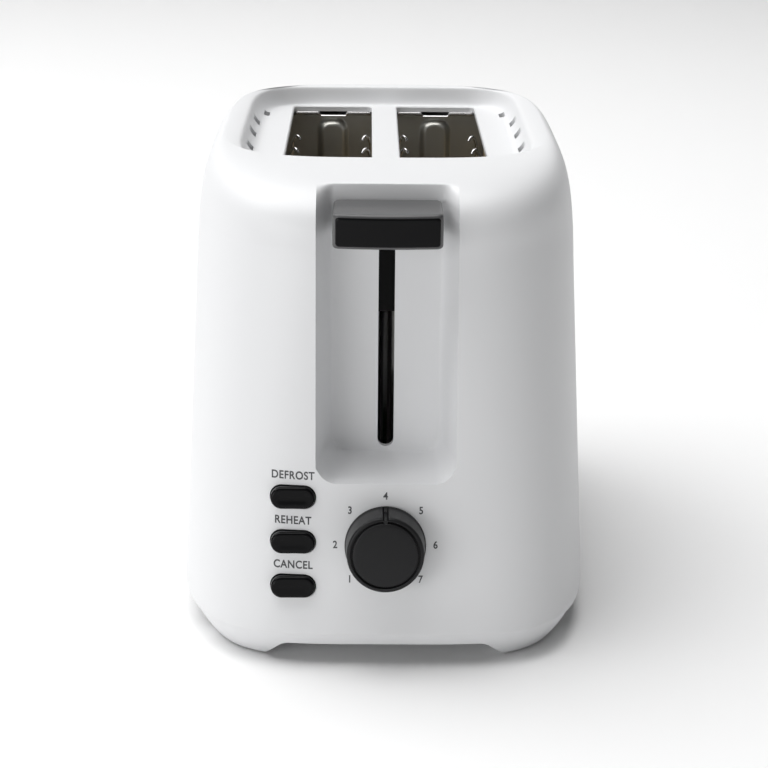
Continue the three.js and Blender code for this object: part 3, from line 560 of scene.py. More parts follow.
# ---- Housing --------------------------------------------------------------------------------
@dataclass(frozen=True)
class Channel:
    """The recess that the lever runs in: a flat floor with soft walls and a ledge at its foot."""

    floor_y: float = -97.0
    floor_half: float = 20.4
    floor_low: float = 77.0
    floor_corner: float = 6.0
    mouth_half: float = 26.4
    mouth_low: float = 73.2
    mouth_corner: float = 8.5
    high: float = 184.2
    swell: float = 1.9
    slot_width: float = 6.2
    slot_bottom: float = 78.6
    slot_top: float = 172.8

    def away(
        self, x: np.ndarray, z: np.ndarray, half: float, low: float, high: float, corner: float,
    ) -> np.ndarray:
        """Signed distance from an upright rectangle with round corners, below 0 inside it."""
        middle, reach = (high + low) / 2, (high - low) / 2
        right = np.abs(x) - (half - corner)
        above = np.abs(z - middle) - (reach - corner)
        outside = np.hypot(np.maximum(right, 0), np.maximum(above, 0))
        return outside + np.minimum(np.maximum(right, above), 0) - corner

    def share(self, x: np.ndarray, z: np.ndarray, grow: float) -> np.ndarray:
        """How much of the way from the floor to the face a point stands, 0 on the floor.

        With t the distance from the floor's outline over the distance between the two outlines, the
        wall rises as t^swell and is eased at its outer edge.
        """
        low, half = self.floor_low - grow, self.floor_half + grow
        floor = self.away(x, z, half, low, self.high, self.floor_corner)
        low, half = self.mouth_low - grow, self.mouth_half + grow
        mouth = self.away(x, z, half, low, self.high + 9, self.mouth_corner)
        way = np.clip(floor / np.maximum(floor - mouth, 1e-6), 0, 1)
        rise = way ** self.swell - 0.035 * smooth_step((way - 0.8) / 0.2)
        return np.where(mouth >= 0, 1.0, np.where(floor <= 0, 0.0, rise))

    def sink(self, points: np.ndarray, grow: float) -> np.ndarray:
        """Moves the points of the front face back onto the channel's floor and walls."""
        x, y, z = np.moveaxis(points, -1, 0)
        share = self.share(x, z, grow)
        floor = soft_max(y, np.full_like(y, self.floor_y + grow), 0.8)
        inside = (y < 0) & (share < 1)
        moved = points.copy()
        moved[..., 1] = np.where(inside, floor + (y - floor) * share, y)
        return moved


@dataclass(frozen=True)
class Housing:
    """The one-piece outer moulding: leaning walls, a shoulder, a lip and a sunk top with two slots."""

    half_width: float = 82.5
    half_length: float = 131.0
    front_slope: float = 0.1075
    rear_slope: float = 0.061
    side_slope: float = 0.044
    shoulder_drop: float = 25.0
    side_drop: float = 40.0
    front_deck: float = 69.0
    rear_deck: float = 24.0
    side_deck: float = 16.0
    recess_depth: float = 8.5
    recess_side: float = 14.0
    recess_front: float = 13.0
    recess_rear: float = 6.0
    lip_share: float = 0.52
    lip_fall: float = 0.8
    lip_ease: float = 0.03
    slot_chamfer: float = 0.5
    vent_half: tuple[float, float] = (1.3, 4.5)
    vent_corner: float = 0.6
    vent_pitch: float = 28.0
    vent_shift: float = -8.0
    vent_share: float = 0.7
    vent_top_gap: float = 1.6
    drawer_half: tuple[float, float] = (46.5, 9.0)
    drawer_z: float = 10.1
    skin: float = 2.5
    front_power: float = 3.0
    strip: float = 30.0
    channel: Channel = Channel()

    @property
    def shoulder_z(self) -> float:
        """Where the walls end and the shoulder starts."""
        return TOP_Z - self.shoulder_drop

    @property
    def recess_z(self) -> float:
        """The sunk top's floor."""
        return TOP_Z - self.recess_depth

    def side(self, z: np.ndarray, inset: float) -> np.ndarray:
        """Half-width at each height: a lean, then a quarter ellipse up to the lip."""
        turn_in = TOP_Z - self.side_drop
        straight = self.half_width - self.side_slope * (np.minimum(z, turn_in) - SEAM_Z) - inset
        share = np.maximum(z - turn_in, 0) / (self.side_drop - inset)
        crest = self.half_width - self.side_deck
        return crest + (straight - crest) * np.sqrt(np.maximum(1 - share ** 2, 0))

    def wall(self, z: np.ndarray, inset: float) -> np.ndarray:
        """Half-width, front, rear, power and height of the wall at each height."""
        rise = z - SEAM_Z
        share = rise / (self.shoulder_z - SEAM_Z)
        return np.stack([
            self.side(z, inset),
            -self.half_length + self.front_slope * rise + inset,
            self.half_length - self.rear_slope * rise - inset,
            4.2 - share,
            z,
        ], axis=-1)

    def crest(self) -> np.ndarray:
        """Half-width, front, rear and power of the lip's highest line."""
        return np.array([
            self.half_width - self.side_deck,
            -self.half_length + self.front_deck,
            self.half_length - self.rear_deck,
            3.8,
        ])

    def shoulder(self, share: np.ndarray, inset: float) -> np.ndarray:
        """The shoulder: a quarter ellipse at the rear, a fuller quarter curve at the front."""
        wall = self.wall(np.array([self.shoulder_z]), inset)[0]
        crest = self.crest()
        swing = np.sqrt(np.clip(1 - share ** 2, 0, 1))
        full = np.clip(1 - share ** self.front_power, 0, 1) ** (1 / self.front_power)
        z = self.shoulder_z + (self.shoulder_drop - inset) * share
        return np.stack([
            self.side(z, inset),
            crest[1] + (wall[1] - crest[1]) * full,
            crest[2] + (wall[2] - crest[2]) * swing,
            wall[3] + (crest[3] - wall[3]) * share ** 2,
            z,
        ], axis=-1)

    def recess(self, share: np.ndarray, inset: float) -> np.ndarray:
        """From the lip down to the sunk floor.

        The lip is a crowned band, s^2 deep, as far as its share of the way. Past it u rises as a
        softened ramp from 0 to 1, and the wall falls as 1 - (1 - u)^2.4, steep at first and then
        hollowed into the floor. At the front the band is narrow, so the way there follows u.
        """
        crest = self.crest()
        past = share - self.lip_share
        ramp = past + np.hypot(past, self.lip_ease)
        ramp = ramp / (1 - self.lip_share + np.hypot(1 - self.lip_share, self.lip_ease))
        crown = self.lip_fall * np.minimum(share / self.lip_share, 1) ** 2
        drop = crown + (self.recess_depth - self.lip_fall) * (1 - np.maximum(1 - ramp, 0) ** 2.4)
        return np.stack([
            crest[0] - (self.recess_side - inset) * share,
            crest[1] + (self.recess_front - inset) * (0.12 * share + 0.88 * ramp),
            crest[2] - (self.recess_rear - inset) * share,
            crest[3] + 4 * share,
            TOP_Z - inset - drop,
        ], axis=-1)

    def rings(self, levels: np.ndarray, turn: np.ndarray) -> np.ndarray:
        """The line |x/a|^n + |y/b|^n = 1 at each level, as a grid of points.

        Args:
            levels: rows of half-width, front, rear, power and height.
            turn: the angle of each column, or of each point.
        """
        half_width, front, rear, power, z = (column[:, None] for column in levels.T)
        across, along = np.cos(turn), np.sin(turn)
        reach = (np.abs(across) ** power + np.abs(along) ** power) ** (-1 / power)
        x = half_width * across * reach
        y = (front + rear) / 2 + (rear - front) / 2 * along * reach
        return np.stack([x, y, np.broadcast_to(z, x.shape)], axis=-1)

    def strip_rings(self, levels: np.ndarray, fine: bool) -> np.ndarray:
        """The same lines with columns of steady x across the front strip, where the channel runs.

        The rest of each line is shared out evenly in angle from one end of the strip round to the
        other.

        Args:
            levels: rows of half-width, front, rear, power and height.
            fine: whether the columns are close enough for the outer face.
        """
        half_width, front, rear, power, z = (column[:, None] for column in levels.T)
        count = 150 if fine else 56
        edge = self.strip / half_width
        start = -np.arctan2((1 - edge ** power) ** (1 / power), edge)
        share = np.linspace(0, 1, count)[None, :]
        share = share + 0.03 * np.sin(4 * np.pi * share) / 2
        around = self.rings(levels, start + (np.pi - 2 * start) * share)
        wall = np.linspace(19, self.strip - 2, 24 if fine else 6)
        middle = np.linspace(0, 19, 9 if fine else 4, endpoint=False)[1:]
        half = np.concatenate([middle, wall])
        x = np.concatenate([-half[::-1], [0.0], half])[None, :] * np.ones_like(z)
        y = (front + rear) / 2 - (rear - front) / 2 * (1 - np.abs(x / half_width) ** power) ** (1 / power)
        ahead = np.stack([x, y, np.broadcast_to(z, x.shape)], axis=-1)
        return np.concatenate([around, ahead], axis=1)

    def face_y(self, x: np.ndarray, z: np.ndarray) -> np.ndarray:
        """Where the front face stands at each x and z."""
        half_width, front, rear, power, _ = np.moveaxis(self.wall(z, 0.0), -1, 0)
        reach = np.clip(1 - np.abs(x / half_width) ** power, 0, 1) ** (1 / power)
        return (front + rear) / 2 - (rear - front) / 2 * reach

    def shoulder_shares(self) -> np.ndarray:
        """Rows of the shoulder, close together where the channel's floor meets the top."""
        crest, wall = self.crest(), self.wall(np.array([self.shoulder_z]), 0.0)[0]
        floor = self.channel.floor_y
        depth = np.concatenate([
            np.linspace(wall[1] + 2, floor - 4, 14),
            np.linspace(floor - 3.5, floor + 4, 22),
            np.linspace(floor + 5, crest[1], 20),
        ])
        ahead = (crest[1] - depth) / (crest[1] - wall[1])
        share = (1 - ahead ** self.front_power) ** (1 / self.front_power)
        return np.unique(np.concatenate([np.linspace(0, share[0], 9)[1:-1], share, [1.0]]))

    def body(self) -> bpy.types.Object:
        """The whole moulding as one closed skin, before its holes."""
        low = SEAM_Z + 0.3
        heights = np.concatenate([
            [low, low + 0.25, low + 0.6, low + 1.2],
            np.linspace(low + 4, 72, 9),
            np.linspace(72.5, 78, 27),
            np.linspace(78.6, 88, 12),
            np.linspace(94, self.shoulder_z, 12),
        ])
        inner_heights = np.concatenate([np.linspace(low, 66, 4), np.linspace(68.5, 82, 12),
                                        np.linspace(95, self.shoulder_z, 6)])
        levels = [self.wall(heights, 0), self.shoulder(self.shoulder_shares(), 0),
                  self.recess(np.linspace(0, 1, 26)[1:] ** 1.3, 0)]
        levels[0][:3, :3] += np.array([0.6, 0.25, 0.06])[:, None] * (-1, 1, -1)
        grow = self.skin
        inner_levels = [
            self.wall(inner_heights, grow),
            self.shoulder(np.sin(np.pi / 2 * np.linspace(0, 1, 14)[1:]), grow),
            self.recess(np.linspace(0, 1, 8)[1:], grow),
        ]
        outer = self.channel.sink(self.strip_rings(np.concatenate(levels), True), 0.0)
        inner = self.channel.sink(self.strip_rings(np.concatenate(inner_levels), True), grow)
        return tidy(skin("housing_shell", np.concatenate([inner[::-1], outer])), merge=1e-7)

    def face_cutter(self, outline: np.ndarray, x: float, z: float) -> bpy.types.Object:
        """A hole square through the leaning face, with a slight lead-in at its mouth."""
        mouth = [(9.0, 0.0), (-0.45, 0.0), (-0.45 - 6.0, 6.0)]
        rings = []
        for depth, grow in mouth:
            length = np.linalg.norm(outline, axis=1, keepdims=True)
            wide = outline * (1 + 0.1 * grow / length)
            rings.append(upright(wide, depth))
        return skin("hole", Face.at(self, x, z).place(np.stack(rings)))

    def cutters(self) -> list[bpy.types.Object]:
        """Every hole in the moulding, as closed solids."""
        made = []
        slots = BreadSlots()
        chamfer = self.slot_chamfer
        for side in (-1, 1):
            outlines, heights = [], []
            for height, grow in ((-14, 0), (-chamfer, 0), (0.02, chamfer), (20, chamfer)):
                line = round_rect(slots.width / 2 + grow, slots.length / 2 + grow, slots.corner + grow, 7)
                outlines.append(line + [side * slots.centre, slots.middle_y])
                heights.append(self.recess_z + height)
            made.append(skin("slot_cutter", stacked(outlines, heights)))
        lane = self.channel
        outline = round_rect(lane.slot_width / 2, (lane.slot_top - lane.slot_bottom) / 2, 2.99)
        middle = (lane.slot_top + lane.slot_bottom) / 2
        rings = [upright(outline, y, middle) for y in (lane.floor_y - 2, lane.floor_y + 6)]
        made.append(skin("lever_cutter", np.stack(rings)))
        made.extend(self.vent_cutters())
        keys = Keys()
        for z in keys.heights():
            half = keys.height / 2 + keys.clearance
            hole = round_rect(keys.width / 2 + keys.clearance, half, half - 0.01, 10)
            made.append(self.face_cutter(hole, keys.x, z))
        made.append(self.face_cutter(round_rect(3.6, 3.6, 3.59, 8), 0.0, Dial().z))
        drawer = round_rect(*self.drawer_half, 1.5, 5)
        rings = [upright(drawer, self.half_length + step, self.drawer_z) for step in (-20, 20)]
        made.append(skin("drawer_cutter", np.stack(rings)))
        gland = turned([(4.8, -25), (4.8, 12)], 32)[..., [0, 2, 1]]
        gland[..., 0] += Gland().x
        gland[..., 1] += self.half_length
        gland[..., 2] += Gland().z
        made.append(skin("gland_cutter", gland))
        return made

    def vent_cutters(self) -> list[bpy.types.Object]:
        """Slits through the sides of the sunk top, set in from the lip's line by the same amount."""
        made = []
        half_width, front, rear, power = self.crest()
        middle = BreadSlots().middle_y + self.vent_shift
        line = round_rect(*self.vent_half, self.vent_corner, 4)
        heights = [self.recess_z - 6, TOP_Z - self.vent_top_gap]
        for step in range(-2, 3):
            y = middle + self.vent_pitch * step
            along = abs(y - (front + rear) / 2) / ((rear - front) / 2)
            x = half_width * (1 - along ** power) ** (1 / power) - self.recess_side * self.vent_share
            for side in (-1, 1):
                place = line + [side * x, y]
                made.append(skin("vent_cutter", stacked([place, place], heights)))
        return made

    def build(self, finishes: Finishes) -> None:
        """Builds and dresses the moulding."""
        made = self.body()
        cut(made, self.cutters())
        tidy(made, 28.0, 2e-7)
        finish_piece(made, "root", finishes.shell, ["outer_housing"])


@dataclass(frozen=True)
class Face:
    """A frame on the leaning front face: its -Y points square out of the wall."""

    origin: tuple[float, float, float]
    lean: float

    @classmethod
    def at(cls, housing: Housing, x: float, z: float) -> "Face":
        """The frame at a point of the face."""
        y = float(housing.face_y(np.array([x]), np.array([z]))[0])
        return cls((x, y, z), math.atan(housing.front_slope))

    def place(self, points: np.ndarray) -> np.ndarray:
        """Turns points about X by the lean and moves them to the frame's origin."""
        x, y, z = np.moveaxis(points, -1, 0)
        cosine, sine = math.cos(self.lean), math.sin(self.lean)
        leaned = np.stack([x, y * cosine + z * sine, -y * sine + z * cosine], axis=-1)
        return leaned + np.array(self.origin)


@dataclass(frozen=True)
class BreadSlots:
    """The two slots' size and place."""

    width: float = 36.0
    gap: float = 11.5
    length: float = 140.0
    front: float = -42.0
    corner: float = 2.5

    @property
    def centre(self) -> float:
        """From the middle to a slot's own middle."""
        return (self.width + self.gap) / 2

    @property
    def middle_y(self) -> float:
        """Half-way along a slot."""
        return self.front + self.length / 2

    @property
    def rear(self) -> float:
        """A slot's rear end."""
        return self.front + self.length


@dataclass(frozen=True)
class Gland:
    """The bush where the lead would enter."""

    x: float = 38.0
    z: float = 27.0


# ---- Base -----------------------------------------------------------------------------------
@dataclass(frozen=True)
class BaseBand:
    """The inset band under the seam, with four corner feet and an arch along each side."""

    inset_top: float = 1.6
    inset_floor: float = 9.6
    floor_z: float = 0.4
    arch_z: float = 8.4
    arch_half: float = 39.0
    arch_flare: float = 8.0
    rounding: float = 0.8
    power: float = 0.5

    def body(self, housing: Housing) -> bpy.types.Object:
        """The band and its floor as a closed skin: inset is a power curve of height, rounded low down."""
        turn = np.linspace(0, 2 * np.pi, 300, endpoint=False)
        heights = np.concatenate([self.floor_z + self.rounding * np.array([0, 0.07, 0.29, 0.62, 1.0]),
                                  np.linspace(2, SEAM_Z - 0.05, 12)])
        drop = (SEAM_Z - heights) / (SEAM_Z - self.floor_z)
        insets = self.inset_top + (self.inset_floor - self.inset_top) * drop ** 1.3
        insets[:5] += self.rounding * np.array([1.0, 0.62, 0.29, 0.07, 0])
        levels = []
        for height, inset, share in zip(heights, insets, drop):
            level = housing.wall(np.array([SEAM_Z]), inset)[0]
            level[3] += self.power * share
            level[4] = height
            levels.append(level)
        return tidy(skin("base_band", housing.rings(np.array(levels), turn[None, :])), 40.0, 1e-7)

    def arch(self, along_x: bool, housing: Housing) -> bpy.types.Object:
        """A cutter under the base, a flared trapezoid with rounded upper corners, right through."""
        half = self.arch_half
        if not along_x:
            half += housing.half_length - housing.half_width
        corner = rounded_path([
            (-half - 2 * self.arch_flare, -self.arch_z, 0), (-half, self.arch_z, 0),
            (half, self.arch_z, 0), (half + 2 * self.arch_flare, -self.arch_z, 0),
        ], 2.6)
        reach = housing.half_length + 20
        rings = []
        for end in (-reach, reach):
            ring = upright(corner, end)
            rings.append(ring if along_x else ring[:, [1, 0, 2]])
        return skin("arch_cutter", np.stack(rings))

    def build(self, housing: Housing, finishes: Finishes) -> None:
        """Builds and dresses the band."""
        made = self.body(housing)
        notch = round_rect(45.5, 20.0, 1.0, 4) + [0, housing.half_length]
        hollow = housing.wall(np.array([SEAM_Z, SEAM_Z]), 5.0)
        hollow[:, 4] = (11.0, 30.0)
        inside = housing.rings(hollow, np.linspace(0, 2 * np.pi, 120, endpoint=False)[None, :])
        cut(made, [self.arch(True, housing)])
        cut(made, [self.arch(False, housing)])
        cut(made, [skin("hollow", inside)])
        cut(made, [skin("notch", stacked([notch, notch], [11.0, 30.0]))])
        tidy(made, 30.0, 2e-7)
        finish_piece(made, "root", finishes.shell, ["base_tray"])


# ---- Lever ----------------------------------------------------------------------------------
@dataclass(frozen=True)
class Lever:
    """The lever's block and the polished panel let into its front."""

    half_width: float = 20.2
    rear: float = -98.6
    depth: float = 25.0
    bottom: float = 163.7
    top: float = 176.7
    bow: float = 1.5
    rounding: float = 1.3
    panel_margin: float = 1.1

    def outline(self, inset: float, front_out: float, per_side: int = 40) -> np.ndarray:
        """The plan: a rectangle with rounded corners whose front bows out by a parabola in x."""
        middle = self.rear - self.depth / 2
        corner = max(self.rounding - inset, 0.3) + 1.0
        line = round_rect(self.half_width - inset, self.depth / 2 - inset, corner, 6)
        extra_x = np.linspace(-1, 1, per_side) * (self.half_width - inset - corner)
        front = np.column_stack([extra_x, np.full(per_side, -self.depth / 2 + inset)])
        whole = np.concatenate([line[:18], front[1:-1], line[18:]])
        whole[:, 1] += middle
        share = np.clip((middle - whole[:, 1]) / (self.depth / 2), 0, 1)
        whole[:, 1] -= (self.bow * (1 - (whole[:, 0] / self.half_width) ** 2) + front_out) * share
        return whole

    def body(self) -> bpy.types.Object:
        """The block: its plan at each height, drawn in at top and bottom by a quarter circle."""
        turn = np.linspace(0, np.pi / 2, 7)
        insets = self.rounding * (1 - np.sin(turn))
        rises = self.rounding * (1 - np.cos(turn))
        heights = np.concatenate([self.bottom + rises, self.top - rises[::-1]])
        draws = np.concatenate([insets, insets[::-1]])
        outlines = [self.outline(inset, 0.0) for inset in draws]
        return tidy(skin("lever_block", stacked(outlines, heights)), 40.0)

    def panel(self) -> bpy.types.Object:
        """The front panel: a bowed sheet, a rounded rectangle in the front view, proud of the block."""
        half_x = self.half_width - self.panel_margin
        half_z = (self.top - self.bottom) / 2 - self.panel_margin
        middle_z = (self.top + self.bottom) / 2
        rings = []
        for inset, proud in ((0.0, -1.2), (0.0, 0.1), (0.12, 0.28), (0.35, 0.38), (0.8, 0.42)):
            line = self.refined(round_rect(half_x - inset, half_z - inset, 1.2, 8))
            y = self.rear - self.depth - self.bow * (1 - (line[:, 0] / self.half_width) ** 2) - proud
            rings.append(np.column_stack([line[:, 0], y, line[:, 1] + middle_z]))
        last = rings[-1]
        for shrink in (0.8, 0.6, 0.4, 0.2, 0.01):
            x = last[:, 0] * shrink
            y = self.rear - self.depth - self.bow * (1 - (x / self.half_width) ** 2) - 0.42
            rings.append(np.column_stack([x, y, middle_z + (last[:, 2] - middle_z) * shrink]))
        return tidy(skin("lever_panel", np.stack(rings)), 50.0)

    def refined(self, line: np.ndarray) -> np.ndarray:
        """Adds points along the outline's two long sides, so that they can follow the bow."""
        share = np.linspace(0, 1, 26)[1:-1, None]
        top = line[7] + (line[8] - line[7]) * share
        low = line[23] + (line[24] - line[23]) * share
        return np.concatenate([line[:8], top, line[8:24], low, line[24:]])

    def build(self, finishes: Finishes) -> None:
        """Builds and dresses the lever."""
        finish_piece(self.body(), "carriage", finishes.satin_grey, ["lever_knob"])
        finish_piece(self.panel(), "carriage", finishes.gloss_black)


# ---- Controls -------------------------------------------------------------------------------
@dataclass(frozen=True)
class Dial:
    """The browning dial: a tapered drum with a pointer groove, and a disc let into its front."""

    z: float = 49.5
    radius: float = 15.4
    front_radius: float = 14.5
    start: float = 0.6
    length: float = 13.2
    disc_radius: float = 12.3
    groove: float = 1.3
    sides: int = 160

    def out(self, grid: np.ndarray) -> np.ndarray:
        """Lays a form turned about Z over, so that its height points out of the face."""
        x, y, z = np.moveaxis(grid, -1, 0)
        return np.stack([x, -z, y], axis=-1)

    def drum(self, housing: Housing) -> bpy.types.Object:
        """The drum; its pointer groove is sunk where the turn is near twelve o'clock."""
        end = self.start + self.length
        rim = np.linspace(0, np.pi / 2, 6)
        profile = [(0.01, self.start), (self.radius, self.start), (self.radius, self.start + 0.9)]
        profile += [(self.radius - 0.25, self.start + 1.3), (self.radius - 0.35, self.start + 2.0)]
        slant = np.linspace(0, 1, 8)
        profile += [(self.radius - 0.4 - slope * 0.5, self.start + 2.2 + slope * (self.length - 3.2))
                    for slope in slant]
        profile += [(self.front_radius - 1.0 + np.cos(turn), end - 1.0 + np.sin(turn)) for turn in rim]
        seat = self.disc_radius + 0.75
        profile += [(seat + 0.15, end), (seat, end - 0.15), (seat, end - 1.4), (0.01, end - 1.4)]
        grid = turned(profile, self.sides)
        x, y, z = np.moveaxis(grid, -1, 0)
        turn = np.arctan2(y, x) - np.pi / 2
        radius = np.hypot(x, y)
        inside = smooth_step((self.groove - np.abs(turn) * self.radius) / 0.5)
        height_share = smooth_step((z - self.start - 0.2) / 0.5)
        depth = 1.7 * inside * height_share * (radius > self.disc_radius + 1.2)
        keep = (radius - depth) / np.maximum(radius, 1e-6)
        grid[..., 0] *= keep
        grid[..., 1] *= keep
        return tidy(skin("dial_drum", Face.at(housing, 0, self.z).place(self.out(grid))), 35.0)

    def disc(self, housing: Housing) -> bpy.types.Object:
        """The front disc, faintly domed, with a rounded edge."""
        end = self.start + self.length
        rim = np.linspace(0, np.pi / 2, 6)
        profile = [(0.01, end - 1.1), (self.disc_radius, end - 1.1)]
        profile += [(self.disc_radius - 0.5 + 0.5 * np.cos(turn), end - 0.35 + 0.5 * np.sin(turn))
                    for turn in rim]
        for share in np.linspace(0.95, 0.0, 14):
            radius = max(self.disc_radius * share, 0.01) - 0.4 * (share > 0.9)
            profile.append((radius, end + 0.2 + 0.35 * (1 - share ** 2)))
        grid = turned(profile, 96)
        return tidy(skin("dial_disc", Face.at(housing, 0, self.z).place(self.out(grid))), 50.0)

    def build(self, housing: Housing, finishes: Finishes) -> None:
        """Builds and dresses the dial."""
        finish_piece(self.drum(housing), "dial", finishes.satin_black, ["dial_knob"])
        finish_piece(self.disc(housing), "dial", finishes.satin_black, ["dial_insert"])


@dataclass(frozen=True)
class Keys:
    """Three stadium-shaped push buttons in a column left of the dial."""

    x: float = -35.0
    low_z: float = 33.0
    pitch: float = 17.3
    width: float = 16.8
    height: float = 8.5
    proud: float = 2.6
    clearance: float = 0.4
    names: tuple[str, str, str] = ("cancel", "reheat", "defrost")

    def heights(self) -> list[float]:
        """The middle of each key, lowest first."""
        return [self.low_z + self.pitch * count for count in range(3)]

    def cap(self, name: str, z: float, housing: Housing) -> bpy.types.Object:
        """One key: a stadium whose edge rolls over by a quarter circle to a faintly dished top."""
        turn = np.linspace(0, np.pi / 2, 8)
        roll = 1.1
        stations = [(3.0, 0.0), (-self.proud + roll, 0.0)]
        stations += [(-self.proud + roll * (1 - np.sin(step)), roll * (1 - np.cos(step)))
                     for step in turn[1:]]
        stations += [(-self.proud + 0.03, 1.8), (-self.proud + 0.12, 2.8), (-self.proud + 0.18, 3.9)]
        rings = []
        for depth, inset in stations:
            radius = self.height / 2 - inset
            line = round_rect(self.width / 2 - inset, radius, radius - 0.005, 14)
            rings.append(upright(line, depth))
        return tidy(skin(f"{name}_key", Face.at(housing, self.x, z).place(np.stack(rings))), 45.0)

    def build(self, housing: Housing, finishes: Finishes) -> None:
        """Builds and dresses the three keys."""
        for name, z in zip(self.names, self.heights()):
            made = self.cap(name, z, housing)
            finish_piece(made, f"{name}_key", finishes.gloss_black, [f"{name}_button"])


@dataclass(frozen=True)
class Legends:
    """Plain printed words over the keys and numbers round the dial."""

    word_height: float = 3.0
    word_lift: float = 8.2
    digit_height: float = 2.8
    digit_radius: float = 19.0
    squeeze: float = 0.86

    def mark(self, text: str, height: float, x: float, z: float, housing: Housing) -> bpy.types.Object:
        """One printed mark, laid on the curved face.

        Args:
            text: what it says.
            height: of its capitals.
            x: its middle.
            z: its middle.
            housing: the moulding that it is printed on.

        Returns:
            The mark, 0.05 mm proud of the face.
        """
        letters = bpy.data.curves.new("letters", "FONT")
        letters.body = text
        letters.align_x = "CENTER"
        letters.align_y = "CENTER"
        letters.size = height / 0.7
        letters.space_character = 1.08
        letters.offset = 0.022 * letters.size
        letters.resolution_u = 6
        holder = add_object("letters", letters)
        mesh = evaluated_mesh(holder)
        bpy.data.objects.remove(holder)
        flat = np.empty(len(mesh.vertices) * 3)
        mesh.vertices.foreach_get("co", flat)
        flat = flat.reshape(-1, 3)
        across = flat[:, 0] * self.squeeze + x
        up = flat[:, 1] + z
        y = housing.face_y(across, up) - 0.05
        placed = np.column_stack([across, y + MIDDLE_Y, up]) * MM
        mesh.vertices.foreach_set("co", placed.ravel())
        mesh.update()
        name = "mark_" + text.lower()
        mesh.name = name
        return add_object(name, mesh)

    def build(self, housing: Housing, finishes: Finishes) -> None:
        """Prints the words and the numbers."""
        keys, dial = Keys(), Dial()
        marks = [(name.upper(), self.word_height, keys.x, z + self.word_lift)
                 for name, z in zip(keys.names, keys.heights())]
        for number in range(1, 8):
            turn = math.radians(45.0 * (number - 4))
            x = self.digit_radius * math.sin(turn)
            marks.append((str(number), self.digit_height, x, dial.z + self.digit_radius * math.cos(turn)))
        for text, height, x, z in marks:
            made = self.mark(text, height, x, z, housing)
            finish_piece(made, "root", finishes.ink)


